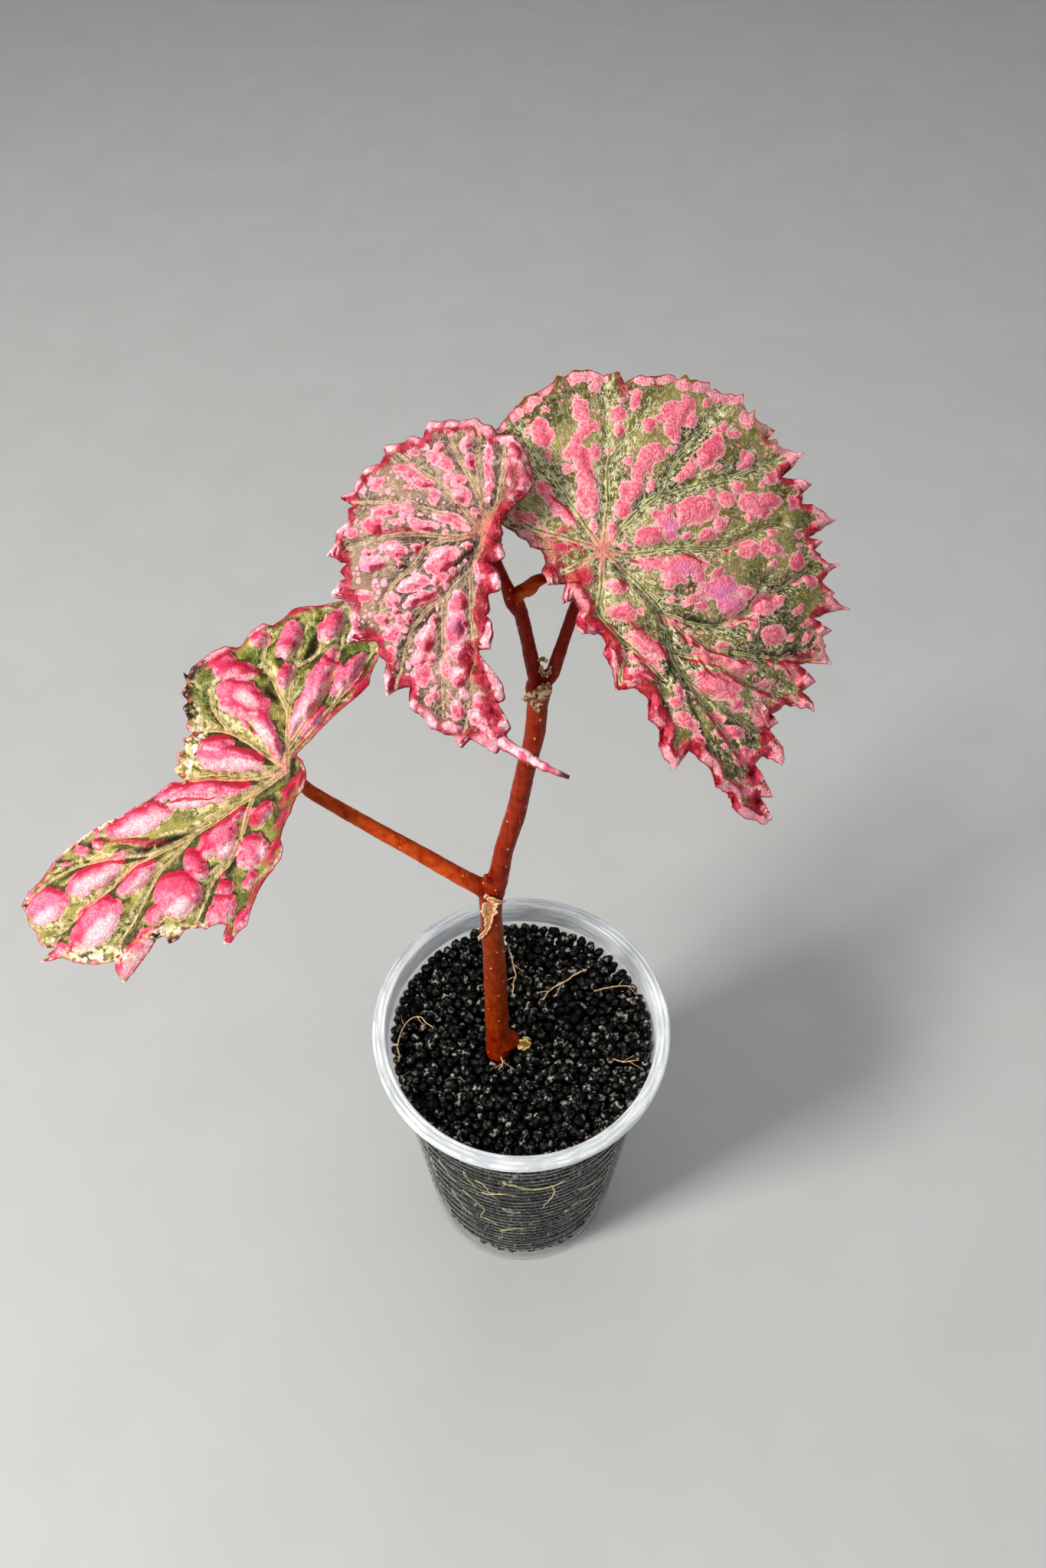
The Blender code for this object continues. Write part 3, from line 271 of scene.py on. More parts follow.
LEFT_LEAF = {
    "node": "leaf_left", "slot": "leaf_yellow", "hub": (6.0, 1.0), "rings": 96,
    "junction": (-45.6, 6.0, 197.4), "normal": (0.0, -0.52, 0.85), "points_to": (-0.88, -0.40, -0.25),
    "dome": 0.0035, "roll": 0.0, "roll_side": 1, "roll_start": 0.0,
    "puff": 1.1, "lumpy": 0.1, "sink": 1.1, "calm": 0.0, "sink_width": 1.7,
    "ridge": 0.45, "ruffle": 0.35, "fold": 0.2,
    "spread": 0.10, "belt": (-99.0, -98.0), "shade_side": (0.0, 1.0), "serration": 0.12, "blunt": 0,
    # marks of painted shade in the valleys and folds beside puffs and veins
    "shade_marks": [(207, 1101, 44, 6, -20), (383, 1003, 6, 20, 0), (300, 1132, 9, 5, -60), (196, 1062, 30, 3, -20),
             (120, 1104, 22, 6, -20), (352, 905, 12, 5, 60), (372, 850, 7, 20, 20),
             (405, 850, 6, 26, 25), (308, 1122, 10, 7, -50), (300, 885, 30, 5, 25)],
    "fresh": [(335, 860, 24, 18, -30), (408, 825, 14, 30, 20), (464, 855, 20, 13, -30), (424, 918, 7, 30, 30),
              (361, 1100, 8, 22, 30), (308, 1176, 7, 20, 20), (388, 1008, 9, 22, 0), (268, 911, 12, 22, 0),
              (300, 835, 14, 8, -20), (350, 925, 5, 30, -20)],
    "crust": [(248, 880, 9, 14, 0), (243, 905, 7, 10, 0), (246, 928, 9, 14, 0), (222, 1229, 18, 4, -8),
              (205, 1222, 8, 4, -8), (54, 1246, 12, 5, -45)],
    "dry": [(238, 1002, 14, 18, 0), (250, 975, 9, 14, 0), (262, 955, 8, 8, 0), (232, 1216, 40, 6, -10),
            (130, 1246, 48, 10, 0), (64, 1232, 14, 8, -60), (255, 940, 6, 20, 0), (120, 1085, 60, 3, -32)],
    "margin": [
        (386, 985), (392, 970), (400, 962), (425, 942), (440, 928), (470, 905), (482, 893), (484, 880),
        (492, 862), (500, 840), (492, 815), (480, 800), (450, 785), (420, 790), (405, 791), (385, 794),
        (372, 805), (356, 816), (344, 814), (334, 820), (324, 828), (318, 839), (308, 845), (296, 843),
        (280, 849), (262, 862), (252, 872), (246, 882), (240, 878), (244, 895), (238, 905), (247, 915),
        (240, 925), (246, 938), (243, 950), (252, 958), (238, 966), (242, 978), (228, 985), (233, 995),
        (226, 1004), (236, 1015), (240, 1019), (222, 1022), (200, 1040), (175, 1054), (150, 1069),
        (135, 1075), (110, 1091), (92, 1104), (70, 1125), (52, 1150), (36, 1166), (28, 1183), (34, 1192),
        (38, 1208), (47, 1218), (50, 1230), (60, 1238), (70, 1236), (58, 1250), (53, 1257), (64, 1255),
        (82, 1251), (95, 1256), (112, 1259), (130, 1259), (148, 1255), (152, 1268), (163, 1284),
        (174, 1270), (190, 1248), (205, 1226), (215, 1222), (222, 1232), (234, 1226), (240, 1214),
        (262, 1211), (268, 1214), (278, 1208), (290, 1207), (296, 1210), (291, 1222), (293, 1233),
        (301, 1232), (310, 1218), (322, 1208), (327, 1190), (333, 1172), (343, 1152), (360, 1130),
        (368, 1118), (369, 1103), (366, 1095), (372, 1075), (380, 1060), (386, 1042), (396, 1030),
        (400, 1010), (394, 992)],
    "veins": [
        [(372, 1005), (325, 1040), (272, 1077), (228, 1103), (190, 1116), (150, 1121), (95, 1133), (60, 1154),
         (34, 1180)],
        [(243, 1092), (198, 1118), (174, 1132), (143, 1160), (113, 1187), (80, 1218), (58, 1252)],
        [(257, 1084), (233, 1113), (208, 1138), (187, 1175), (175, 1200), (158, 1226), (146, 1254)],
        [(330, 1035), (305, 1115), (279, 1147), (265, 1179), (254, 1206)],
        [(372, 1005), (376, 930), (385, 870), (400, 815)], [(376, 930), (360, 895), (345, 870)],
        [(374, 975), (385, 960), (430, 890), (455, 800)], [(372, 1000), (340, 980), (300, 955), (262, 952)],
        [(372, 1006), (320, 1015), (250, 1018)], [(378, 985), (410, 950), (445, 905), (486, 850)],
        [(340, 870), (345, 850), (352, 830)], [(300, 955), (280, 930), (272, 900)],
        [(385, 870), (415, 850), (425, 800)]],
    "rose": [
        (338, 834, 13, 11, -20), (378, 833, 28, 14, -65), (373, 883, 18, 11, -65), (293, 870, 18, 16, -60),
        (318, 876, 20, 11, 10), (318, 912, 36, 24, 30), (345, 945, 26, 13, 60), (358, 972, 16, 8, 70),
        (302, 922, 14, 14, 0), (321, 943, 8, 4, 70), (333, 957, 4, 3, 0), (300, 990, 42, 16, 5),
        (282, 973, 22, 14, -10), (408, 905, 62, 15, -62), (430, 868, 14, 14, 0), (432, 817, 24, 13, -60),
        (455, 880, 34, 12, -52), (412, 941, 24, 10, -52), (177, 1073, 40, 17, -20), (205, 1060, 20, 12, 0),
        (128, 1102, 8, 8, 0), (108, 1110, 8, 7, 20), (127, 1087, 5, 5, 0), (85, 1128, 7, 3, -10),
        (62, 1182, 30, 22, -30), (125, 1143, 42, 16, -28), (155, 1120, 12, 6, -20), (105, 1160, 14, 8, 0),
        (178, 1146, 30, 13, -45), (124, 1206, 46, 24, -48), (76, 1243, 14, 8, -40), (176, 1245, 40, 15, -50),
        (262, 1030, 62, 13, -4), (215, 1035, 14, 9, -20), (315, 1062, 17, 8, -25), (343, 1062, 20, 10, -52),
        (284, 1095, 30, 20, -40), (255, 1125, 18, 14, 60), (230, 1166, 34, 28, -40), (262, 1138, 10, 12, 0),
        (328, 1112, 24, 18, -55), (325, 1148, 13, 6, -70), (292, 1157, 12, 9, -30), (288, 1187, 24, 16, -60),
        (318, 1200, 16, 9, -50), (290, 1142, 4, 3, -45), (205, 1190, 20, 12, -50)],
    # pale marks: partly the leaf's own pale pink, partly painted highlight on puffs and margin lobes
    "pale": [
        (343, 818, 16, 3, -25), (305, 1000, 36, 9, 5), (185, 1078, 30, 10, -20), (125, 1150, 36, 9, -28),
        (60, 1198, 22, 9, -25), (132, 1216, 34, 12, -48), (190, 1240, 34, 5, -50), (250, 1048, 40, 6, -5),
        (345, 955, 20, 9, 60), (395, 925, 30, 6, -62), (183, 1152, 20, 6, -45), (286, 850, 22, 3, -35),
        (236, 1185, 16, 12, -40), (300, 1110, 16, 8, -40), (345, 1110, 8, 12, 0), (322, 912, 16, 10, 30),
        (325, 1203, 12, 3, -60), (367, 1122, 12, 2, -60)],
    # crimson marks: partly the leaf's own red, partly painted shade on slopes and folds turned from the light
    "crimson": [
        (385, 798, 18, 4, -15), (469, 896, 18, 7, -48), (378, 1032, 22, 7, -62), (392, 1018, 5, 12, 20),
        (366, 1068, 16, 4, -65),
        (358, 1112, 22, 6, -60), (338, 1155, 22, 3, -60), (280, 863, 16, 6, -40), (318, 872, 20, 6, 10),
        (175, 1100, 32, 4, 0), (265, 1020, 52, 4, -2), (280, 964, 20, 5, -10), (300, 1228, 6, 8, 0),
        (95, 1240, 8, 8, 0), (335, 1070, 8, 12, 40)],
    "lilac": [(62, 1196, 8, 4, -25), (395, 900, 8, 4, -62)],
}


def unit(vectors):
    """Vectors of the same directions and length 1."""
    return vectors / np.linalg.norm(vectors, axis=-1, keepdims=True)


def leaf_frame(leaf):
    """The leaf's junction and its unit vectors: along, across and normal."""
    normal = unit(np.array(leaf["normal"]))
    along = np.array(leaf["points_to"])
    along = unit(along - normal * along.dot(normal))
    return np.array(leaf["junction"]), along, np.cross(normal, along), normal


def past_roll(leaf, q):
    """How far a point lies past the start of the leaf's roll."""
    return np.maximum(leaf["roll_side"] * q - leaf["roll_start"], 0.0)


def sheet_height(leaf, p, q):
    """A dome that falls with the square of the distance, and a roll that falls with the square of the
    distance past its start on one side."""
    return -leaf["dome"] * (p * p + q * q) - leaf["roll"] * past_roll(leaf, q) ** 2


def sheet_normals(leaf, p, q):
    """Unit normals of the sheet: the leaf's normal less the height's slopes along and across."""
    _, along, across, normal = leaf_frame(leaf)
    fall_across = 2 * leaf["dome"] * q + 2 * leaf["roll"] * leaf["roll_side"] * past_roll(leaf, q)
    return unit(normal + (2 * leaf["dome"] * p)[:, None] * along + fall_across[:, None] * across)


def sight_lines(pixels):
    """Directions from the camera through the pixels."""
    pixels = np.atleast_2d(np.array(pixels, float))
    side = (pixels[:, :1] - CENTRE_PX[0]) / FOCAL_PX
    rise = (CENTRE_PX[1] - pixels[:, 1:2]) / FOCAL_PX
    return AHEAD + RIGHTWARD * side + UPWARD * rise


def on_leaf(leaf, pixels):
    """Where the lines of sight through the pixels meet the leaf's sheet, as (along, across). Each step
    moves a point along its line by a share of its height above the sheet over the line's slope."""
    junction, along, across, normal = leaf_frame(leaf)
    lines = sight_lines(pixels)
    slope = lines @ normal
    reach = ((junction - EYE) @ normal) / slope
    for _ in range(SIGHT_STEPS):
        offset = EYE + lines * reach[:, None] - junction
        height = sheet_height(leaf, offset @ along, offset @ across)
        reach = reach + SIGHT_SHARE * (height - offset @ normal) / slope
    offset = EYE + lines * reach[:, None] - junction
    return np.column_stack([offset @ along, offset @ across])


def ramp(value, low, high):
    """0 below low, 1 above high, and 3t squared less 2t cubed between them."""
    t = np.clip((value - low) / (high - low), 0.0, 1.0)
    return t * t * (3.0 - 2.0 * t)


def lattice_noise(x, y, pitch, seed):
    """Smooth noise from -1 to 1: random values on a square lattice, blended with the ramp curve."""
    table = np.random.default_rng(seed).uniform(-1.0, 1.0, (LATTICE, LATTICE))
    column = np.floor(x / pitch).astype(int)
    row = np.floor(y / pitch).astype(int)
    u = ramp(x / pitch - column, 0.0, 1.0)
    v = ramp(y / pitch - row, 0.0, 1.0)
    left = column % LATTICE
    right = (column + 1) % LATTICE
    near, far = (table[k % LATTICE, left] * (1 - u) + table[k % LATTICE, right] * u for k in (row, row + 1))
    return near * (1 - v) + far * v


def margin_curve(corners, pitch=0.62):
    """A closed curve through the corners. Each piece is a Hermite curve whose end slopes fade to none
    where the margin turns sharply, so that teeth stay pointed."""
    before = corners - np.roll(corners, 1, axis=0)
    after = np.roll(corners, -1, axis=0) - corners
    before_length = np.hypot(*before.T)
    after_length = np.hypot(*after.T)
    straightness = np.sum(before * after, axis=1) / (before_length * after_length)
    slope = before / before_length[:, None] + after / after_length[:, None]
    strength = np.clip((straightness + 0.1) / 1.1, 0, 1) * np.minimum(before_length, after_length)
    slope = 0.5 * slope * strength[:, None]
    pieces = []
    for k, corner in enumerate(corners):
        following = (k + 1) % len(corners)
        steps = max(1, round(after_length[k] / pitch))
        t = (np.arange(steps) / steps)[:, None]
        pieces.append(corner * (1 - 3 * t ** 2 + 2 * t ** 3) + slope[k] * (t - 2 * t ** 2 + t ** 3)
                      + corners[following] * (3 * t ** 2 - 2 * t ** 3) + slope[following] * (t ** 3 - t ** 2))
    return np.vstack(pieces)


def smooth_path(stations, steps):
    """Catmull-Rom curve through the stations, with the given steps between each pair."""
    points = np.array(stations, float)
    padded = np.vstack([2 * points[0] - points[1], points, 2 * points[-1] - points[-2]])
    t = (np.arange(steps) / steps)[:, None]
    pieces = []
    for a, b, c, d in zip(padded, padded[1:], padded[2:], padded[3:]):
        pieces.append(0.5 * (2 * b + (c - a) * t + (2 * a - 5 * b + 4 * c - d) * t ** 2
                             + (3 * b - a - 3 * c + d) * t ** 3))
    return np.vstack(pieces + [points[-1:]])


def softened(curve, rounds=SOFT_ROUNDS):
    """A closed curve with each point averaged with its neighbours, many times over."""
    for _ in range(rounds):
        curve = 0.25 * np.roll(curve, 1, axis=0) + 0.5 * curve + 0.25 * np.roll(curve, -1, axis=0)
    return curve


def distance_to(lines, p, q):
    """Distance to the nearest line, times a factor that grows with the distance from the junction, so
    that what is drawn along the lines narrows outwards."""
    nearest = np.full(p.shape, FAR)
    for line in lines:
        for (ax, ay), (bx, by) in zip(line, line[1:]):
            t = ((p - ax) * (bx - ax) + (q - ay) * (by - ay)) / ((bx - ax) ** 2 + (by - ay) ** 2)
            t = np.clip(t, 0.0, 1.0)
            nearest = np.minimum(nearest, np.hypot(p - ax - t * (bx - ax), q - ay - t * (by - ay)))
    return nearest * (1.0 + VEIN_NARROWING * np.hypot(p, q))


def veinlets(veins, spacing=4.5, turn=0.9, bend=0.1):
    """Short side veins, to the left and right by turns, that lean away from their vein and bend back."""
    made = []
    steps = np.arange(5)
    reach = 0.35 * spacing * steps
    for line in veins:
        run = np.r_[0.0, np.cumsum(np.hypot(*np.diff(line, axis=0).T))]
        for k, place in enumerate(np.arange(spacing, run[-1], spacing)):
            back, start, end = (np.array([np.interp(place + step, run, line[:, i]) for i in (0, 1)])
                                for step in (-0.5, 0.0, 0.5))
            side = 1 if k % 2 else -1
            heading = math.atan2(*(end - back)[::-1]) + side * (turn - bend * steps)
            made.append(start + np.column_stack([np.cos(heading) * reach, np.sin(heading) * reach]))
    return made


def depth_in_marks(leaf, marks, p, q):
    """How deep a point lies in the nearest mark, in mm, and less than nothing outside. A mark is an
    ellipse in the photograph; the depth is (1 - the distance in half axes) times the shorter one."""
    marks = np.array(marks, float).reshape(-1, 5)
    turn = np.radians(marks[:, 4])
    centre = marks[:, :2]
    middle = on_leaf(leaf, centre)
    first = on_leaf(leaf, centre + np.column_stack([np.cos(turn), np.sin(turn)]) * marks[:, 2:3]) - middle
    second = on_leaf(leaf, centre + np.column_stack([-np.sin(turn), np.cos(turn)]) * marks[:, 3:4]) - middle
    area = first[:, 0] * second[:, 1] - first[:, 1] * second[:, 0]
    shorter = np.minimum(np.hypot(*first.T), np.hypot(*second.T))
    deepest = np.full(p.shape, OUTSIDE)
    for k in range(len(marks)):
        x = p - middle[k, 0]
        y = q - middle[k, 1]
        u = (x * second[k, 1] - y * second[k, 0]) / area[k]
        v = (y * first[k, 0] - x * first[k, 1]) / area[k]
        deepest = np.maximum(deepest, (1.0 - np.hypot(u, v)) * shorter[k])
    return deepest


def outward_from(curve):
    """Unit vectors square to a closed curve that point out of it."""
    tangent = np.roll(curve, -1, axis=0) - np.roll(curve, 1, axis=0)
    area = np.sum(curve[:, 0] * np.roll(curve[:, 1], -1) - np.roll(curve[:, 0], -1) * curve[:, 1])
    square = np.column_stack([tangent[:, 1], -tangent[:, 0]]) * math.copysign(1.0, area)
    return square / np.hypot(*tangent.T)[:, None]


def serrated(edge, reach, pitch=2.7):
    """The margin with fine uneven teeth: the square of a saw wave along it, times noise."""
    run = np.cumsum(np.hypot(*(edge - np.roll(edge, 1, axis=0)).T))
    place = run / pitch + 0.8 * lattice_noise(run, 0.0 * run, 6.0, 11)
    saw = np.abs(2.0 * (place % 1.0) - 1.0) ** 2 - 0.35
    uneven = 1.0 + 0.8 * lattice_noise(run, 0.0 * run, 4.0, 12)
    return edge + outward_from(softened(edge, TOOTH_ROUNDS)) * (reach * saw * uneven)[:, None]


def leaf_plan(leaf):
    """Everything about a leaf that is worked out once: its margin, its softened margin, how far each
    tooth stands out from that, its veins and its veinlets."""
    corners = on_leaf(leaf, leaf["margin"])
    edge = serrated(softened(margin_curve(corners), leaf["blunt"]), leaf["serration"])
    soft = softened(edge)
    standing = np.sum((edge - softened(edge, TOOTH_ROUNDS)) * outward_from(soft), axis=1)
    tooth = np.clip(softened(standing, 3) / TOOTH_REACH, -1.0, 1.0)
    veins = [smooth_path(on_leaf(leaf, vein), 3) for vein in leaf["veins"]]
    return {"edge": edge, "soft": soft, "tooth": tooth, "veins": veins, "veinlets": veinlets(veins),
            "hub": np.array(leaf["hub"])}


def leaf_rings(plan, rings):
    """Points (along, across) on rings from the hub out to the margin. A ring is the softened margin
    drawn in towards the hub, and the teeth grow out of it over the last quarter."""
    toward = (np.arange(1, rings + 1) / rings)[:, None, None] ** 0.9
    teeth = ramp(toward, 0.72, 1.0) * (plan["edge"] - plan["soft"])
    points = plan["hub"] + toward * (plan["soft"] - plan["hub"]) + teeth
    return points[..., 0], points[..., 1]


def distance_to_margin(plan, p, q):
    """Distance to the nearest margin point, found ring by ring, and that point's tooth."""
    away = np.empty(p.shape)
    tooth = np.empty(p.shape)
    for k in range(len(p)):
        gap = np.hypot(p[k][:, None] - plan["edge"][:, 0], q[k][:, None] - plan["edge"][:, 1])
        nearest = gap.argmin(axis=1)
        away[k] = gap[np.arange(len(nearest)), nearest]
        tooth[k] = plan["tooth"][nearest]
    return away, tooth


def leaf_fields(leaf, plan, p, q):
    """The measures that shape and colour the leaf at each point."""
    bent_p, bent_q = (place + 0.5 * lattice_noise(p, q, 2.6, seed) + 0.22 * lattice_noise(p, q, 1.1, seed + 1)
                      for place, seed in ((p, 1), (q, 3)))
    depth = {kind: depth_in_marks(leaf, leaf[kind], bent_p, bent_q) for kind in ("rose", *MARK_EDGES)}
    blotch = np.maximum(np.maximum(depth["rose"], depth["pale"]), depth["crimson"] - 0.3)
    margin, tooth = distance_to_margin(plan, p, q)
    return {
        **{kind: ramp(depth[kind], *edges) for kind, edges in MARK_EDGES.items()},
        "blotch": np.clip(blotch + leaf["spread"], -3.0, 3.0),
        "vein": distance_to(plan["veins"], p + 0.12 * lattice_noise(p, q, 2.0, 5), q),
        "veinlet": distance_to(plan["veinlets"], bent_p, bent_q),
        "margin": margin, "tooth": tooth * np.exp(-margin / 2.2),
        "heart": np.exp(-(p * p + q * q) / 14.0),
        "belt": ramp(p, *leaf["belt"]),
        "rolled": ramp(leaf["roll_side"] * q, 2.0, 6.0) * (leaf["roll"] > 0.0),
        "spoke": 30.0 * MM * np.arctan2(q, p), "reach": 0.3 * MM * np.hypot(p, q),
        "along": MM * p, "across": MM * q,
    }


def hill(distance, width):
    """1 at no distance, falling by a bell curve of the given width."""
    return np.exp(-(distance / width) ** 2)


def leaf_rise(leaf, p, q, fields):
    """Height above the sheet: raised blotches, sunk veins with a fine ridge along them, a slow swell,
    pimples, lumpy crusts, and a margin that folds down, swells and curls over, with lifted teeth."""
    margin = fields["margin"]
    puffs = leaf["puff"] * ramp(fields["blotch"], -0.5, 1.5) * ramp(margin, 0.0, 2.5)
    puffs = puffs * (1.0 + leaf["lumpy"] * lattice_noise(p, q, 1.5, 13))
    depth = leaf["sink"] * (1.0 - leaf["calm"] * ramp(-p, -13.0, 6.0))
    clear = 1.0 - ramp(fields["blotch"], 0.5, 1.6) * (1.0 - fields["heart"])
    sunk = depth * clear * hill(fields["vein"], leaf["sink_width"])
    ridge = leaf["ridge"] * clear * hill(fields["vein"], RIDGE_WIDTH)
    quilt = QUILT_DEPTH * hill(fields["veinlet"], QUILT_WIDTH)
    swell = sum(high * lattice_noise(p, q, size, seed) for high, size, seed in LEAF_SWELLS)
    lumps = fields["crust"] * (0.5 + 0.5 * lattice_noise(p, q, 0.8, 9))
    lumps = lumps + 0.3 * fields["dry"] * lattice_noise(p, q, 1.0, 10)
    fold = hill(margin - 1.2, 0.7) - 0.7 * hill(margin - 2.6, 0.9)
    curl = np.maximum(1.0 - margin / 0.9, 0.0) ** 2
    rim = leaf["fold"] * fields["belt"] * (0.5 * fold - 0.7 * curl) + leaf["ruffle"] * fields["tooth"]
    return puffs - sunk + ridge - quilt + swell + lumps + rim


def leaf_points(leaf, p, q, height):
    """Points in the part's frame from (along, across) and the height over the leaf's plane."""
    junction, along, across, normal = leaf_frame(leaf)
    return junction + p[..., None] * along + q[..., None] * across + height[..., None] * normal


def grid_faces(rows, columns, closed_rows=False, closed_columns=False):
    """Four-cornered faces of a grid of points numbered row by row, joined up where it is closed."""
    row, column = np.meshgrid(np.arange(rows - 1 + closed_rows), np.arange(columns - 1 + closed_columns),
                              indexing="ij")
    above = (row + 1) % rows
    beside = (column + 1) % columns
    corners = [row * columns + column, row * columns + beside,
               above * columns + beside, above * columns + column]
    return np.stack(corners, axis=-1).reshape(-1, 4)


def ring_faces(rings, around, first, centre, flip):
    """Faces of rings of points numbered from first, closed round a centre point."""
    quads = first + grid_faces(rings, around, closed_columns=True)[:, [0, 3, 2, 1]]
    turn = np.arange(around)
    fan = np.stack([np.full(around, centre), first + turn, first + (turn + 1) % around], axis=-1)
    if flip:
        quads = quads[:, ::-1]
        fan = fan[:, ::-1]
    return quads.tolist() + fan.tolist()


def capped_faces(rings, sides, flip):
    """Faces of rings of points that are closed at both ends, round a first and a last point."""
    last = 1 + rings * sides
    end = last - sides + np.arange(sides)
    pair = [end, np.roll(end, -1)] if flip else [np.roll(end, -1), end]
    return ring_faces(rings, sides, 1, 0, flip) + np.stack([np.full(sides, last), *pair], axis=-1).tolist()


def in_scene(name, data):
    """A new object with this data, linked to the scene."""
    made = bpy.data.objects.new(name, data)
    bpy.context.scene.collection.objects.link(made)
    return made


def store(mesh, label, values):
    """Keeps a float value for each point of a mesh."""
    mesh.attributes.new(label, "FLOAT", "POINT").data.foreach_set("value", np.asarray(values, np.float32))


def read_out(bm):
    """Points and faces of a bmesh, which is then let go."""
    points = np.array([v.co[:] for v in bm.verts])
    faces = [[v.index for v in f.verts] for f in bm.faces]
    bm.free()
    return points, faces


def make_piece(name, points, faces, materials, slot, replaced=(), levels=None):
    """A smooth-shaded mesh from points in mm. levels are float values for each point, by name."""
    mesh = bpy.data.meshes.new(name)
    mesh.from_pydata((np.asarray(points) * MM).tolist(), [], faces)
    for label, values in (levels or {}).items():
        store(mesh, label, values)
    for material in materials:
        mesh.materials.append(material)
    mesh.shade_smooth()
    mesh.update()
    piece = in_scene(name, mesh)
    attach(piece, BODY)
    if replaced:
        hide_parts(*replaced)
    return piece


def blade_side(leaf, plan, side):
    """One face of a blade, the lower one with half as many rings: its points, the plain sheet's normals
    there, and its fields. The first point is the hub."""
    p, q = leaf_rings(plan, leaf["rings"] // (1 + side))
    hub_p, hub_q = plan["hub"].reshape(2, 1, 1)
    inner = leaf_fields(leaf, plan, hub_p, hub_q)
    outer = leaf_fields(leaf, plan, p, q)
    fields = {key: np.r_[inner[key].ravel(), outer[key].ravel()] for key in outer}
    p = np.r_[hub_p.ravel(), p.ravel()]
    q = np.r_[hub_q.ravel(), q.ravel()]
    thickness = EDGE_BLADE + (BLADE - EDGE_BLADE) * ramp(fields["margin"], 0.0, 1.5)
    thickness += HUB_SWELL * np.exp(-(p ** 2 + q ** 2) / 4.0)
    height = sheet_height(leaf, p, q) + leaf_rise(leaf, p, q, fields) - side * thickness
    return leaf_points(leaf, p, q, height), sheet_normals(leaf, p, q), fields


def leaf_blade(leaf, materials):
    """A closed blade: rings for its upper face, half as many for its lower face, and a rim between."""
    plan = leaf_plan(leaf)
    around = len(plan["edge"])
    upper, upper_slopes, levels = blade_side(leaf, plan, 0)
    lower, lower_slopes, under = blade_side(leaf, plan, 1)
    count = len(upper)
    faces = ring_faces(leaf["rings"], around, 1, 0, flip=False)
    slots = np.zeros(len(faces), np.int32)
    faces += ring_faces(leaf["rings"] // 2, around, count + 1, count, flip=True)
    top = count - around + np.arange(around)
    bottom = top + len(lower)
    faces += np.stack([top, bottom, np.roll(bottom, -1), np.roll(top, -1)], axis=-1).tolist()
    levels = {key: np.r_[values, under[key]] for key, values in levels.items()}
    piece = make_piece(leaf["node"] + "_blade", np.vstack([upper, lower]), faces, materials, leaf["slot"],
                       (leaf["node"],), levels)
    slots = np.r_[slots, np.ones(len(faces) - len(slots), np.int32)]
    piece.data.polygons.foreach_set("material_index", slots)
    turn_outwards(piece)
    add_shade_side(leaf, piece.data, np.vstack([upper_slopes, lower_slopes]))


def add_shade_side(leaf, mesh, plain):
    """Stores how much further than the plain sheet each point faces the side turned from the light, given in
    the picture's directions; painted shade and painted highlights follow it.
    """
    facing = np.empty(3 * len(mesh.vertices))
    mesh.vertices.foreach_get("normal", facing)
    from_light = RIGHTWARD * leaf["shade_side"][0] + UPWARD * leaf["shade_side"][1]
    store(mesh, "shade_side", (facing.reshape(-1, 3) - plain) @ from_light)


def turn_outwards(piece):
    """Faces turned to point out of a closed mesh."""
    bm = bmesh.new()
    bm.from_mesh(piece.data)
    bmesh.ops.recalc_face_normals(bm, faces=bm.faces)
    bm.to_mesh(piece.data)
    bm.free()


def paint(red, green, blue):
    """A linear colour from the 0 to 255 values that it shows on a screen."""
    shown = np.array([red, green, blue]) / 255.0
    linear = np.where(shown <= 0.04045, shown / 12.92, ((shown + 0.055) / 1.055) ** 2.4)
    return (*linear.tolist(), 1.0)


class Value:
    """A socket whose value changes over the surface. A sum, difference or product of values is a Math
    node, and a ramp is a Map Range node."""

    def __init__(self, graph, socket):
        self.graph = graph
        self.socket = socket

    def __add__(self, other):
        return self.graph.math("ADD", self, other)

    def __sub__(self, other):
        return self.graph.math("SUBTRACT", self, other)

    def __rsub__(self, other):
        return self.graph.math("SUBTRACT", other, self)

    def __mul__(self, other):
        return self.graph.math("MULTIPLY", self, other)

    def ramp(self, low, high, start=0.0, end=1.0):
        """start below low, end above high, and a smooth step between them."""
        inputs = {"Value": self, "From Min": low, "From Max": high, "To Min": start, "To Max": end}
        return self.graph.node("MapRange", inputs, interpolation_type="SMOOTHSTEP")[0]

    def fall(self, low, high):
        """1 below low and 0 above high."""
        return self.ramp(low, high, 1.0, 0.0)


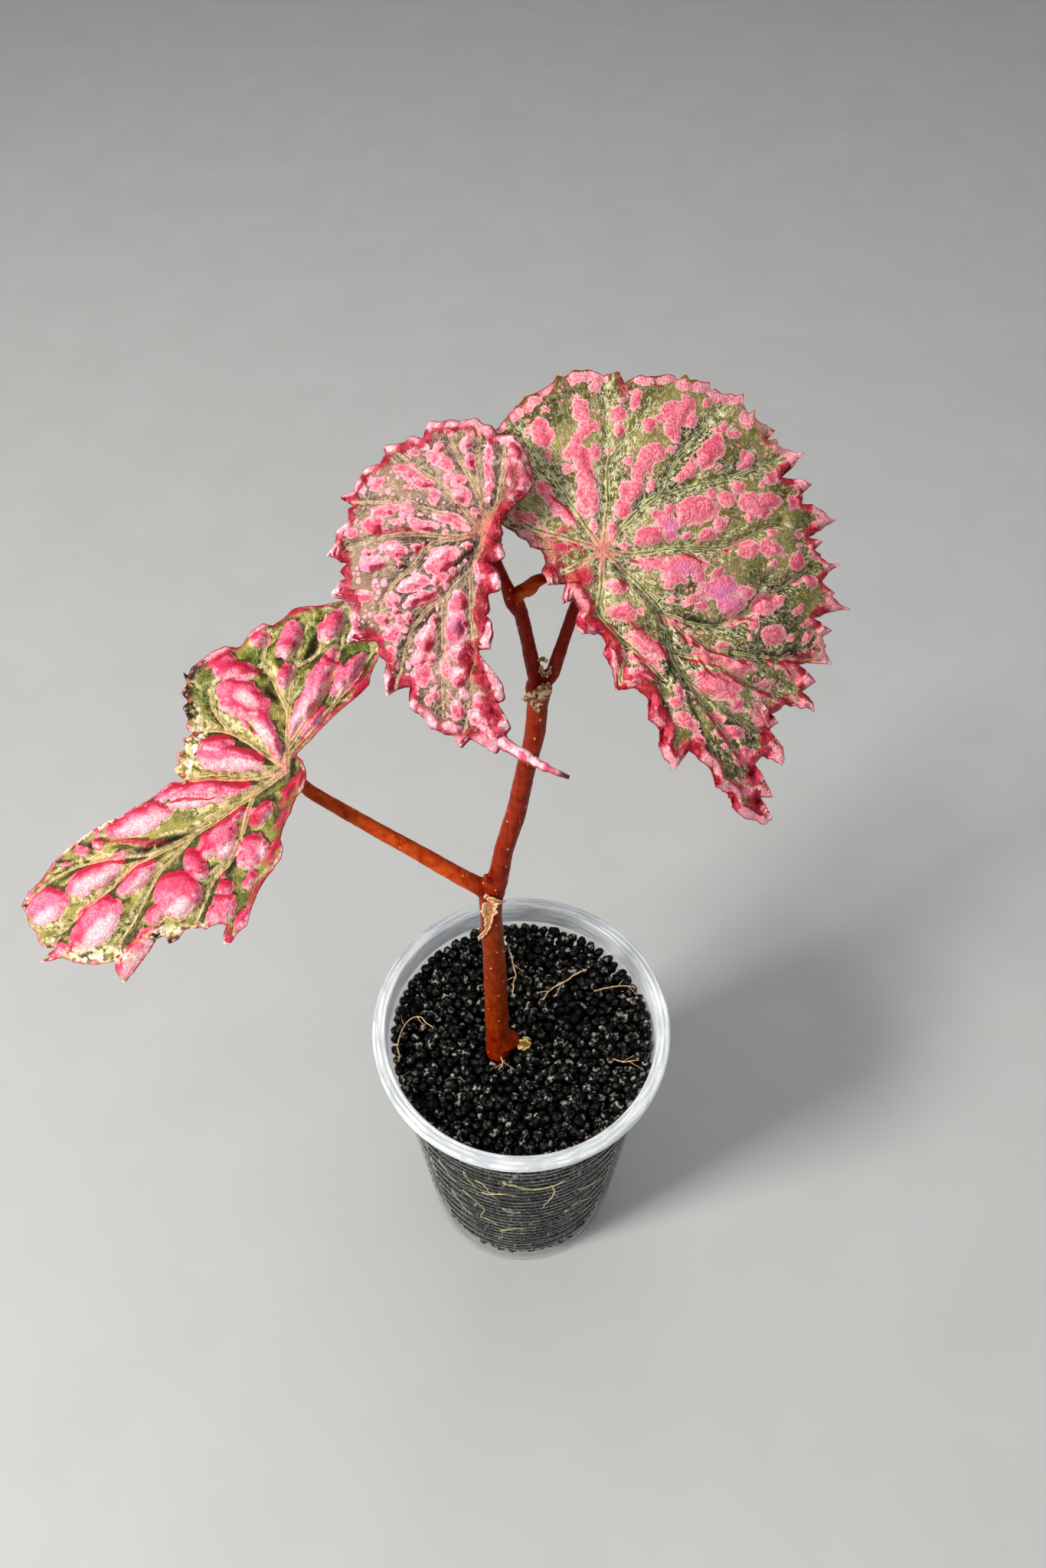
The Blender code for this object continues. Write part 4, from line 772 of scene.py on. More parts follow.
class Graph:
    """Adds nodes to one node tree. An input given as a Value is linked, and any other is set."""

    def __init__(self, tree):
        self.tree = tree
        self.place = self.node("TexCoord")["Object"]

    def feed(self, socket, value):
        if isinstance(value, Value):
            self.tree.links.new(value.socket, socket)
        else:
            socket.default_value = value

    def node(self, kind, inputs=None, **settings):
        """The outputs of a new node, by name and by number."""
        made = self.tree.nodes.new("ShaderNode" + kind)
        for name, value in settings.items():
            setattr(made, name, value)
        for key, value in (inputs or {}).items():
            self.feed(made.inputs[key], value)
        outputs = {}
        for number, socket in enumerate(made.outputs):
            outputs[number] = outputs[socket.name] = Value(self, socket)
        return outputs

    def placed(self, tree, **inputs):
        """The outputs of a node group."""
        return self.node("Group", inputs, node_tree=tree)

    def level(self, name):
        """A value that is stored for each point of the mesh."""
        return self.node("Attribute", attribute_name=name)["Fac"]

    def math(self, operation, first, second):
        return self.node("Math", {0: first, 1: second}, operation=operation)[0]

    def most(self, first, second):
        return self.math("MAXIMUM", first, second)

    def mix(self, share, first, second):
        return self.node("Mix", {0: share, 6: first, 7: second}, data_type="RGBA")[2]

    def noise(self, size, detail=2.0, roughness=0.5, place=None):
        """Noise whose lumps are about size mm across."""
        inputs = {"Vector": place or self.place, "Scale": 1.0 / (size * MM), "Detail": detail,
                  "Roughness": roughness}
        return self.node("TexNoise", inputs)[0]

    def cells(self, size, place=None, dimensions="3D"):
        """Distances in cells about size mm across, and a random value for each cell."""
        inputs = {"Vector": place or self.place, "Scale": 1.0 / (size * MM)}
        made = self.node("TexVoronoi", inputs, voronoi_dimensions=dimensions)
        return made["Distance"], self.node("SeparateColor", {0: made["Color"]})[0]

    def cell_edges(self, size, place):
        """Distance from the walls between cells about size mm across."""
        inputs = {"Vector": place, "Scale": 1.0 / (size * MM)}
        return self.node("TexVoronoi", inputs, feature="DISTANCE_TO_EDGE")["Distance"]

    def vector(self, operation, first, second):
        return self.node("VectorMath", {0: first, **second}, operation=operation)[0]

    def warped(self, size, reach):
        """Object coordinates pushed about by noise of size mm, up to about reach mm."""
        drift = self.node("TexNoise", {"Vector": self.place, "Scale": 1.0 / (size * MM), "Detail": 1.0})
        centred = self.vector("SUBTRACT", drift["Color"], {1: (0.5, 0.5, 0.5)})
        return self.vector("ADD", self.place, {1: self.vector("SCALE", centred, {"Scale": 4.0 * reach * MM})})

    def flat(self, first, second):
        """Coordinates in a plane, from two levels that are stored in metres."""
        return self.node("CombineXYZ", {0: self.level(first), 1: self.level(second)})[0]

    def axis(self, number, vector=None):
        """One part of the object coordinates, in metres, or of another vector."""
        return self.node("SeparateXYZ", {0: vector or self.place})[number]

    def upward(self):
        """How much the surface faces up, from -1 to 1."""
        return self.axis(2, self.node("NewGeometry")["Normal"])

    def ringed(self):
        """Coordinates that change along the profile of a turned piece, and only slowly round it."""
        inputs = {0: self.level("ring"), 1: self.axis(0) * 0.08, 2: self.axis(1) * 0.08}
        return self.node("CombineXYZ", inputs)[0]

    def stretched(self, x, y, z):
        return self.node("Mapping", {"Vector": self.place, "Scale": (x, y, z)})[0]

    def bump(self, height, depth, strength=1.0):
        """A normal from a height from 0 to 1 that stands for depth mm."""
        return self.node("Bump", {"Strength": strength, "Distance": depth * MM, "Height": height})[0]


def effect(name, inputs, outputs):
    """An empty shader node group with named float inputs and outputs: its graph, what it is given, and
    the sockets that its results go to."""
    tree = bpy.data.node_groups.new(name, "ShaderNodeTree")
    for label, value in inputs.items():
        tree.interface.new_socket(label, in_out="INPUT", socket_type="NodeSocketFloat").default_value = value
    for label in outputs:
        tree.interface.new_socket(label, in_out="OUTPUT", socket_type="NodeSocketFloat")
    graph = Graph(tree)
    entry = tree.nodes.new("NodeGroupInput").outputs
    leaving = tree.nodes.new("NodeGroupOutput").inputs
    return graph, {label: Value(graph, entry[label]) for label in inputs}, leaving


def blotch_effect():
    """Turns the depth in a blotch into a ragged mask and a thin rim inside its edge."""
    g, given, result = effect("ragged_blotch", {"Depth": 0.0, "Raggedness": 1.0}, ("Mask", "Rim"))
    jitter = (g.noise(1.3, 3.0, 0.6) - 0.5) * 1.5 + (g.noise(0.4, 1.0) - 0.5) * 0.5
    depth = given["Depth"] + jitter * given["Raggedness"]
    mask = depth.ramp(-0.07, 0.07)
    g.feed(result["Mask"], mask)
    g.feed(result["Rim"], mask * depth.fall(0.08, 0.45))
    return g.tree


def grain_effect():
    """Fine cells: a value from 0 to 1 that varies from cell to cell, and the lumps they make."""
    g, given, result = effect("cell_grain", {"Softness": 0.5}, ("Grain", "Height"))
    distance, chance = g.cells(0.34)
    g.feed(result["Grain"], chance * 0.6 + g.noise(0.6, 3.0, 0.7) * 0.4)
    g.feed(result["Height"], 1.0 - distance * given["Softness"] + g.noise(1.4, 3.0) * 0.8)
    return g.tree


def net_effect():
    """A fine net of veinlets from cell edges on warped coordinates, and round dots of two sizes in some
    of the cells laid on the leaf's plane."""
    g, given, result = effect("vein_net", {"Size": 1.0}, ("Net", "Dots"))
    edge = g.cell_edges(1.15, g.warped(1.6, 0.45))
    g.feed(result["Net"], edge.fall(0.05, 0.15) * g.noise(1.0).ramp(0.40, 0.55))
    dots = 0.0
    for size, share in ((1.7, 0.35), (0.9, 0.6)):
        distance, chance = g.cells(size, g.flat("along", "across"), "2D")
        radius = chance.ramp(share, 1.0, 0.0, 0.32) * given["Size"]
        dots = g.most(dots, (distance - radius).fall(-0.03, 0.03))
    g.feed(result["Dots"], dots)
    return g.tree


def new_material(name):
    """A material, its graph and its shader."""
    material = bpy.data.materials.new(name)
    material.use_nodes = True
    graph = Graph(material.node_tree)
    return material, graph, material.node_tree.nodes["Principled BSDF"]


def dress(graph, shader, colour, roughness, normal=None, shine=None):
    """Links a skin's colour, roughness and normal, and sets its shine as one number on the shader."""
    given = {"Base Color": colour, "Roughness": roughness, "Normal": normal, "Specular IOR Level": shine}
    for name, value in given.items():
        if value is not None:
            graph.feed(shader.inputs[name], value)


def leaf_green(g, look, speck, net):
    """Mottled green or brown, with a pale net and flecks beside the veins. Painted shade darkens the
    grooves beside the veins, a band just outside each puff on the side turned from the light, and the
    marked places; a painted highlight lays creamy mottling on slopes turned to the light, below the puffs."""
    vein = g.level("vein")
    shade_side = g.level("shade_side")
    fresh = g.level("fresh")
    base = g.mix(g.noise(3.2, 4.0, 0.6).ramp(0.35, 0.65), look["dark"], look["mid"])
    base = g.mix(g.noise(9.0).ramp(0.42, 0.62), base, look["light"])
    base = g.mix(speck.ramp(0.35, 0.75) * 0.35, base, look["mid"])
    base = g.mix(fresh * g.noise(1.8, 3.0).ramp(0.3, 0.55), base, look["fresh"])
    # painted shade in the grooves beside the veins, weaker on the side turned to the light
    valley = vein.fall(0.3, 2.4) * shade_side.ramp(-0.1, 0.2, look["both_sides"], 1.0)
    base = g.mix(valley * look["valley"], base, look["shade"])
    beside = g.most(vein.ramp(0.8, 5.5, 1.0, 0.3), g.level("veinlet").fall(0.2, 2.2))
    streaks = g.noise(0.42, 3.0, 0.7, g.flat("spoke", "reach")).ramp(0.52, 0.58)
    flecks = g.most(streaks * g.noise(0.8, 3.0, 0.6).ramp(0.40, 0.53), net * 0.5)
    base = g.mix(beside * flecks * look["flecks"], base, look["fleck_and_highlight"])
    # painted highlight: cream mottling on slopes turned to the light
    facing = shade_side.fall(-0.3, 0.0) * g.noise(1.2, 4.0, 0.65).ramp(0.42, 0.55)
    facing = facing * (1.0 - g.most(fresh, valley * 0.9))
    base = g.mix(facing * look["cream"], base, look["fleck_and_highlight"])
    # painted shadow: a band just outside each puff on the side turned from the light, and painted shade in
    # the marked places
    behind = g.level("blotch").ramp(-1.8, -0.4) * shade_side.ramp(0.02, 0.14) * look["cream"]
    shade_marks = g.most(behind, g.level("shade_marks") * g.noise(1.4, 3.0).ramp(0.25, 0.42))
    return g.mix(shade_marks, base, look["shade"])


def leaf_rose(g, look, speck, rim):
    """Speckled rose, deeper in patches and pale where marked; a painted highlight makes the side of a puff
    that is turned to the light pale, and painted shade makes the side turned from it crimson, with some of
    the leaf's own red.
    """
    shade_side = g.level("shade_side")
    rose = g.mix(speck.ramp(0.3, 0.75), look["rose"], look["rose_light"])
    rose = g.mix(g.noise(4.5).ramp(0.42, 0.70, 0.0, look["depth"]), rose, look["rose_deep"])
    rose = g.mix(g.level("lilac") * 0.75, rose, look["lilac"])
    white = g.mix(speck.ramp(0.25, 0.8), look["pale"], look["white"])
    # painted highlight: paler on the side of a puff turned to the light
    lit = shade_side.fall(-0.35, -0.03) * look["lit"]
    rose = g.mix(lit * g.noise(1.5, 3.0).ramp(0.35, 0.6), rose, white)
    # the pale marks, partly painted highlight
    rose = g.mix(g.level("pale") * look["paleness"], rose, white)
    rose = g.mix(rim * look["rim_strength"], rose, look["rim"])
    # painted shade: crimson on the side of a puff turned from the light, partly the leaf's own red
    ragged_shade_side = shade_side + (g.noise(1.0, 3.0) - 0.5) * 0.3
    near_edge = g.level("blotch").ramp(0.5, 1.4, 1.0, look["shade_side_inside"])
    shadowed = ragged_shade_side.ramp(look["shade_side"], look["shade_side"] + 0.22) * near_edge * look["shade_side_strength"]
    return g.mix(shadowed, rose, look["crimson"])


def leaf_margin(g, look, colour, speck):
    """A belt of pale swollen lobes, crimson in the notches between them, with a thin dark hem. The lobes'
    pale is partly their own and partly painted highlight; painted shade leaves them crimson on the side
    turned from the light, and painted highlights make light pricks on the tooth tips. Where the leaf
    rolls under, more of it is crimson."""
    margin = g.level("margin")
    tooth = g.level("tooth")
    rolled = g.level("rolled")
    rag = (g.noise(1.1, 3.0) - 0.5) * 2.0
    inward = margin + rag
    belt = (inward - rolled * 0.7).fall(look["belt"], look["belt"] + 0.5)
    lobe = (tooth + rag * 0.12).ramp(look["lobe"], look["lobe"] + 0.25)
    lobe = lobe * (inward + rolled * 0.5).fall(look["belly"], look["belly"] + 0.4)
    lobe = lobe * g.level("crimson").fall(0.2, 0.7)
    # painted shade: the lobes stay crimson on the side turned from the light
    lobe = g.most(lobe, g.level("pale")) * g.level("shade_side").fall(0.25, 0.5)
    pale = g.mix(speck.ramp(0.25, 0.8), look["pale"], look["white"])
    pale = g.mix(g.noise(1.0, 3.0).ramp(0.45, 0.6), look["rose_light"], pale)
    deep = g.mix(g.noise(1.3, 3.0).ramp(0.45, 0.65), look["crimson"], look["rose_deep"])
    colour = g.mix(belt * g.level("belt") * look["belt_strength"], colour, g.mix(lobe, deep, pale))
    colour = g.mix(margin.ramp(0.08, 0.34, 0.8, 0.0), colour, look["hem"])
    # painted highlight on the tooth tips
    tip_highlight = tooth.ramp(0.72, 0.9) * margin.fall(0.1, 0.5)
    return g.mix(tip_highlight * 0.8, colour, look["white"])


def leaf_veins(g, look, colour, vein):
    """Pale veins with a darker core, worn away in places and red at the heart of the leaf."""
    width = look["vein_width"]
    line = vein.fall(width, width + 0.25) * g.noise(1.6, 3.0).ramp(0.35, 0.6, 0.35, 1.0)
    core = vein.fall(0.4 * width, 0.4 * width + 0.12)
    drawn = g.mix(g.level("heart") * 0.9, g.mix(core, look["vein"], look["vein_core"]), look["heart"])
    return g.mix(line * look["vein_strength"], colour, drawn)


def leaf_skin(name, look, effects):
    """The upper face of a leaf, from its green, its blotches, its margin and its veins."""
    material, g, shader = new_material(name)
    blotch = g.level("blotch")
    patch = g.placed(effects["blotch"], Depth=blotch, Raggedness=look["ragged"])
    grain = g.placed(effects["grain"], Softness=0.6)
    net = g.placed(effects["net"], Size=look["dots"])
    speck = grain["Grain"]
    vein = g.level("vein") + (g.noise(0.8) - 0.5) * 0.25
    vein = vein + blotch.ramp(0.5, 1.6) * (1.0 - g.level("heart")) * 2.0
    dots = net["Dots"] * vein.ramp(0.6, 1.2)
    colour = leaf_green(g, look, speck, net["Net"])
    colour = g.mix(dots, colour, g.mix(g.noise(2.0), look["rose_light"], look["pale"]))
    colour = g.mix(patch["Mask"], colour, leaf_rose(g, look, speck, patch["Rim"]))
    # the crimson marks, partly the leaf's own red and partly painted shade
    colour = g.mix(g.level("crimson") * (0.85 - g.level("pale") * 0.85), colour, look["crimson"])
    colour = leaf_margin(g, look, colour, speck)
    husk = g.mix(g.noise(0.8, 3.0).ramp(0.4, 0.6), look["dry"], look["white"])
    colour = g.mix(g.level("dry") * g.noise(1.2, 4.0).ramp(0.44, 0.54), colour, husk)
    colour = g.mix(g.level("crust") * g.noise(0.9, 4.0).ramp(0.40, 0.55), colour, look["crust"])
    colour = leaf_veins(g, look, colour, vein)
    height = grain["Height"] + patch["Mask"] * 0.5 - net["Net"] * 0.35 + dots * 0.6
    roughness = speck.ramp(0.2, 0.9, look["gloss"], look["gloss"] + 0.22)
    dress(g, shader, colour, roughness, g.bump(height, 0.13), 0.2)
    return material


def leaf_under(name, look, effects):
    """The lower face: dull red over green, with the blotches showing through and darker veins."""
    material, g, shader = new_material(name)
    patch = g.placed(effects["blotch"], Depth=g.level("blotch"), Raggedness=1.0)
    grain = g.placed(effects["grain"], Softness=0.6)
    net = g.placed(effects["net"], Size=0.8)
    base = g.mix(g.noise(4.0, 3.0).ramp(0.35, 0.65), look["under_dark"], look["under"])
    base = g.mix(net["Net"] * 0.4, base, look["under_vein"])
    base = g.mix(patch["Mask"] * 0.55, base, look["under_patch"])
    base = g.mix(g.level("vein").fall(0.3, 0.8) * 0.8, base, look["under_vein"])
    base = g.mix(g.level("margin").ramp(0.4, 2.0, 0.8, 0.0), base, look["crimson"])
    dress(g, shader, base, grain["Grain"].ramp(0.2, 0.9, 0.4, 0.6), g.bump(grain["Height"], 0.1))
    return material


# The leaves' colours, the strengths of their effects from 0 to 1, and distances in mm. The brown and
# yellow looks say only what differs from the olive one. Some of them paint light and shade: the dark
# shade colour with the valley, both_sides and cream strengths, the crimson on the side of a puff turned
# from the light, and the lit and cream highlights on slopes turned to the light.
OLIVE_LOOK = {
    "dark": paint(58, 52, 16), "mid": paint(104, 96, 36), "light": paint(148, 136, 72),
    # shade is the colour of painted shade; valley and both_sides set how much lies in the grooves beside the
    # veins; the fleck colour also serves for the painted highlight on lit slopes
    "shade": paint(26, 24, 2), "valley": 0.8, "both_sides": 0.15, "fleck_and_highlight": paint(255, 246, 206),
    # cream sets both a painted highlight on slopes turned to the light and a painted shadow just outside
    # puffs
    "flecks": 0.95, "cream": 0.0, "rose": paint(240, 100, 122), "rose_light": paint(254, 156, 166),
    "rose_deep": paint(222, 62, 96), "lilac": paint(248, 140, 194), "pale": paint(246, 146, 162),
    "white": paint(254, 204, 210), "paleness": 0.6, "depth": 0.55, "fresh": paint(104, 104, 18),
    # lit sets a painted highlight on puffs, and the two entries after it set painted crimson shade on the
    # side turned from the light
    "rim": paint(255, 190, 186), "rim_strength": 0.85, "lit": 0.25, "shade_side": 0.26, "shade_side_strength": 0.9,
    "crimson": paint(172, 6, 34), "vein": paint(214, 212, 150), "vein_core": paint(100, 100, 46),
    "heart": paint(244, 140, 134), "vein_width": 0.36, "vein_strength": 0.85, "dots": 0.55,
    "belt": 1.5, "belly": 1.5, "lobe": -0.42, "belt_strength": 0.9, "hem": paint(150, 8, 28), "gloss": 0.36,
    "ragged": 1.0, "shade_side_inside": 0.6, "dry": paint(206, 188, 122), "crust": paint(46, 30, 18),
    "under_dark": paint(96, 22, 20), "under": paint(134, 46, 32), "under_patch": paint(196, 62, 74),
    "under_vein": paint(150, 24, 24),
}
BROWN_LOOK = {
    **OLIVE_LOOK,
    "dark": paint(66, 44, 28), "mid": paint(106, 78, 56), "light": paint(156, 124, 100),
    "shade": paint(34, 10, 6), "valley": 0.65, "fleck_and_highlight": paint(250, 228, 202), "flecks": 0.5,
    "rose": paint(228, 92, 116), "rose_light": paint(246, 152, 168), "rose_deep": paint(206, 52, 84),
    "pale": paint(250, 184, 200), "white": paint(255, 232, 236), "paleness": 0.8,
    "rim": paint(252, 196, 204), "rim_strength": 0.5, "lit": 0.65, "shade_side": 0.45, "shade_side_strength": 0.85,
    "crimson": paint(150, 2, 30), "vein": paint(208, 178, 138), "vein_core": paint(150, 112, 80),
    "heart": paint(224, 122, 100), "vein_width": 0.30, "dots": 1.15, "belly": 1.3,
    "lobe": -0.06, "gloss": 0.34, "ragged": 0.6, "shade_side_inside": 0.12,
}
YELLOW_LOOK = {
    **OLIVE_LOOK,
    "dark": paint(64, 66, 0), "mid": paint(110, 106, 6), "light": paint(166, 150, 60),
    "shade": paint(32, 26, 0), "valley": 0.95, "both_sides": 0.45, "fleck_and_highlight": paint(248, 232, 176),
    "flecks": 0.6, "cream": 0.85, "rose": paint(236, 88, 124), "rose_light": paint(248, 136, 162),
    "rose_deep": paint(214, 46, 90), "lilac": paint(244, 160, 210), "pale": paint(250, 188, 200),
    "white": paint(255, 236, 232), "paleness": 0.75,
    "rim": paint(246, 170, 170), "rim_strength": 0.2, "lit": 0.65, "shade_side": 0.20,
    "depth": 1.0, "fresh": paint(86, 108, 8),
    "crimson": paint(186, 8, 46), "vein": paint(230, 204, 146), "vein_core": paint(190, 148, 86),
    "heart": paint(240, 150, 140), "vein_width": 0.46, "vein_strength": 0.9, "dots": 0.0,
    "belt": 0.4, "belly": 0.3, "lobe": -0.1, "belt_strength": 0.7, "gloss": 0.34, "ragged": 0.7,
    "dry": paint(232, 210, 136),
}

# Granules: places in mm, and how far apart they lie
GRANULE = 1.66
TOP_PITCH = 2.72
TOP_SPREAD = 36.0
TOP_LAYERS = 3
TOP_CENTRE_Z = 96.1
LAYER_STEP = (0.7, 0.9, -1.8)
TOP_REACH = 30.8
LOWER_REACH = 29.6
RING_PITCH = 2.76
WALL_RINGS = [(97.1, 32.5), (95.6, 31.9), (93.8, 31.2)]
WALL_ROWS = (3.5, 93.0, 2.45)
WALL_PITCH = 2.95
CANE_FOOT = (-6.0, -3.6)
FOOT_CLEAR = 3.9

# Cup, as in the part's source
RIB_COUNT = 14
RIB_STEPS = 8
RIB_DEPTH = 0.7
RIB_LOW_Z = 5.0
RIB_HIGH_Z = 91.0
WALL_RADIUS_LOW = 27.6
WALL_RADIUS_HIGH = 33.3
MOUTH_RADIUS = 34.1
RIM_RADIUS = 37.5
CUP_HEIGHT = 104.0
CUP_WALL = 0.8
CUP_SIDES = 176
RIM_FOOT_Z = 97.0
FOOT_RING = [(0, 0.0), (21.0, 0.0), (22.0, 0.5), (24.4, 0.5), (25.0, 0.0), (26.6, 0.0)]
FLOOR_Z = 1.5


def wall_radius(z):
    """The wall's outer radius on the crests of its ribs."""
    return WALL_RADIUS_LOW + (WALL_RADIUS_HIGH - WALL_RADIUS_LOW) * np.asarray(z) / RIB_HIGH_Z


def rib_sink(z):
    """How far the ribbed wall lies inside its crests: a cosine wave, and none past the ribs."""
    pitch = (RIB_HIGH_Z - RIB_LOW_Z) / RIB_COUNT
    wave = 0.5 - 0.5 * np.cos(2 * np.pi * (np.asarray(z) - RIB_LOW_Z) / pitch)
    ribbed = (np.asarray(z) > RIB_LOW_Z) & (np.asarray(z) < RIB_HIGH_Z)
    return np.where(ribbed, RIB_DEPTH * wave ** 0.8, 0.0)


def carried_round(profile, sides):
    """Each (radius, z) of a profile at even turns round the axis."""
    turn = 2 * np.pi * np.arange(sides) / sides
    return np.stack([profile[:, :1] * np.cos(turn), profile[:, :1] * np.sin(turn),
                     np.repeat(profile[:, 1:], sides, axis=1)], axis=-1).reshape(-1, 3)


def turned(profile, sides):
    """A closed turned shape from a profile of (radius, z) whose two ends lie on the axis."""
    profile = np.array(profile, float)
    rings = profile[1:-1]
    points = np.vstack([[0.0, 0.0, profile[0, 1]], carried_round(rings, sides), [0.0, 0.0, profile[-1, 1]]])
    return points, capped_faces(len(rings), sides, flip=True)


def rounded(corners, radius, steps=4):
    """A profile with each inner corner replaced by a quadratic curve that starts radius before it."""
    corners = np.array(corners, float)
    made = [corners[0]]
    for before, corner, after in zip(corners, corners[1:], corners[2:]):
        into = corner - before
        out = after - corner
        cut = min(radius, 0.45 * np.linalg.norm(into), 0.45 * np.linalg.norm(out))
        start = corner - unit(into) * cut
        end = corner + unit(out) * cut
        for t in np.linspace(0.0, 1.0, steps):
            made.append((1 - t) ** 2 * start + 2 * t * (1 - t) * corner + t ** 2 * end)
    made.append(corners[-1])
    return made


def cup_wall(material):
    """The cup below its mouth: foot ring, ribbed wall and stacking step, as one turned profile."""
    heights = np.linspace(RIB_LOW_Z, RIB_HIGH_Z, RIB_COUNT * RIB_STEPS + 1)
    ribs = np.column_stack([wall_radius(heights) - rib_sink(heights), heights])
    inner = (ribs - [CUP_WALL, 0.0])[::-1]
    foot = rounded(FOOT_RING + [(wall_radius(1.2), 1.4), (wall_radius(4.9), 4.9)], 0.5)
    out = MOUTH_RADIUS + CUP_WALL
    high = wall_radius(RIB_HIGH_Z)
    step = rounded([(high, 91.2), (high + 0.3, 94.0), (out, RIM_FOOT_Z), (MOUTH_RADIUS, RIM_FOOT_Z),
                    (high - 0.5, 94.5), (high - 0.9, 91.2)], 0.5)
    floor = rounded([(wall_radius(4.8) - CUP_WALL, 4.8), (wall_radius(2.0) - CUP_WALL - 0.2, FLOOR_Z),
                     (0.0, FLOOR_Z)], 1.0)
    points, faces = turned(np.vstack([foot, ribs[1:-1], step, inner[1:-1], floor]), CUP_SIDES)
    levels = {"crest": 1.0 - rib_sink(points[:, 2]) / RIB_DEPTH, "ring": MM * points[:, 2]}
    turn_outwards(make_piece("cup_wall", points, faces, [material], "cup", ("cup",), levels))


def cup_rim(material):
    """The straight mouth and its flange, a closed profile turned to a ring. The flange has two low
    ridges on top, a cosine of the radius, and a skirt round its edge."""
    out = MOUTH_RADIUS + CUP_WALL
    across = np.linspace(RIM_RADIUS - 0.5, MOUTH_RADIUS + 0.4, 15)
    dip = 0.5 - 0.5 * np.cos(2 * np.pi * (across - across[-1]) / (across[0] - across[-1]) * 2)
    top = np.column_stack([across, CUP_HEIGHT - 0.22 * dip])
    below = rounded([(MOUTH_RADIUS, CUP_HEIGHT - 0.5), (MOUTH_RADIUS, RIM_FOOT_Z), (out, RIM_FOOT_Z),
                     (out + 0.1, CUP_HEIGHT - 1.0), (RIM_RADIUS - 0.9, CUP_HEIGHT - 1.0),
                     (RIM_RADIUS - 0.75, CUP_HEIGHT - 2.4), (RIM_RADIUS, CUP_HEIGHT - 2.4),
                     (RIM_RADIUS, CUP_HEIGHT - 0.5)], 0.4)
    profile = np.vstack([below, top])
    points = carried_round(profile, CUP_SIDES)
    faces = grid_faces(len(profile), CUP_SIDES, True, True).tolist()
    levels = {"ring": MM * (np.hypot(points[:, 0], points[:, 1]) + points[:, 2])}
    turn_outwards(make_piece("cup_rim", points, faces, [material], "cup", ("cup",), levels))


def bead_form(corners):
    """Corners spread over a ball by the golden angle, and the triangles of the hull round them."""
    k = np.arange(corners) + 0.5
    height = 1.0 - 2.0 * k / corners
    turn = np.pi * (1.0 + math.sqrt(5.0)) * k
    reach = np.sqrt(1.0 - height ** 2)
    bm = bmesh.new()
    for place in around_axis(reach, turn, height).tolist():
        bm.verts.new(place)
    bmesh.ops.convex_hull(bm, input=bm.verts)
    bmesh.ops.recalc_face_normals(bm, faces=bm.faces)
    bm.verts.index_update()
    points, faces = read_out(bm)
    return points, np.array(faces)


def around_axis(away, turn, z):
    """Points at a distance from the axis, a turn round it and a height."""
    return np.column_stack([away * np.cos(turn), away * np.sin(turn), z])


def beads(name, centres, corners, seed, material):
    """Lumpy beads, joined: each ball is stretched along its own random axes and dented by sines."""
    draw = np.random.default_rng(seed)
    points, faces = bead_form(corners)
    count = len(centres)
    axes = np.linalg.qr(draw.normal(size=(count, 3, 3)))[0]
    axes *= np.where(np.linalg.det(axes) < 0, -1.0, 1.0)[:, None, None]
    stretch = draw.uniform(0.74, 1.06, (count, 3)) * draw.uniform(0.80, 1.08, (count, 1))
    phase = draw.uniform(0.0, 6.28, (count, 1))
    dent = 1.0 + 0.18 * np.sin(3.3 * points[:, 0] + phase) * np.sin(2.7 * points[:, 1] + 2.0 * phase)
    lumps = points[None] * dent[..., None] * stretch[:, None, :] * GRANULE
    places = np.einsum("nij,nvj->nvi", axes, lumps) + centres[:, None, :]
    joined_faces = faces[None] + (np.arange(count) * len(points))[:, None, None]
    shade = np.repeat(draw.uniform(0.0, 1.0, count), len(points))
    make_piece(name, places.reshape(-1, 3), joined_faces.reshape(-1, 3).tolist(), [material], "granules",
               ("soil",), {"shade": shade})


def top_centres():
    """Granule places in layers: a jittered hexagonal lattice in each, kept inside the wall and off the
    cane, and rings against the wall."""
    draw = np.random.default_rng(5)
    rows = int(TOP_SPREAD / TOP_PITCH) + 2
    row, column = np.meshgrid(np.arange(-rows, rows + 1), np.arange(-rows, rows + 1), indexing="ij")
    found = []
    for layer in range(TOP_LAYERS):
        along, across, down = np.multiply(LAYER_STEP, layer)
        x = TOP_PITCH * (column + 0.5 * (row % 2)) + along + draw.uniform(-0.7, 0.7, row.shape)
        y = TOP_PITCH * math.sqrt(0.75) * row + across + draw.uniform(-0.7, 0.7, row.shape)
        z = TOP_CENTRE_Z + down + draw.uniform(-0.8, 0.4, row.shape)
        keep = np.hypot(x, y) < (TOP_REACH if layer == 0 else LOWER_REACH)
        keep &= np.hypot(x - CANE_FOOT[0], y - CANE_FOOT[1]) > FOOT_CLEAR
        found.append(np.column_stack([x[keep], y[keep], z[keep]]))
    for z, radius in WALL_RINGS:
        count = int(2 * np.pi * radius / RING_PITCH)
        turn = 2 * np.pi * (np.arange(count) + draw.uniform(-0.15, 0.15, count)) / count
        away = radius - draw.uniform(0.0, 0.5, count)
        found.append(around_axis(away, turn, z - draw.uniform(0.0, 0.9, count)))
    return np.vstack(found)


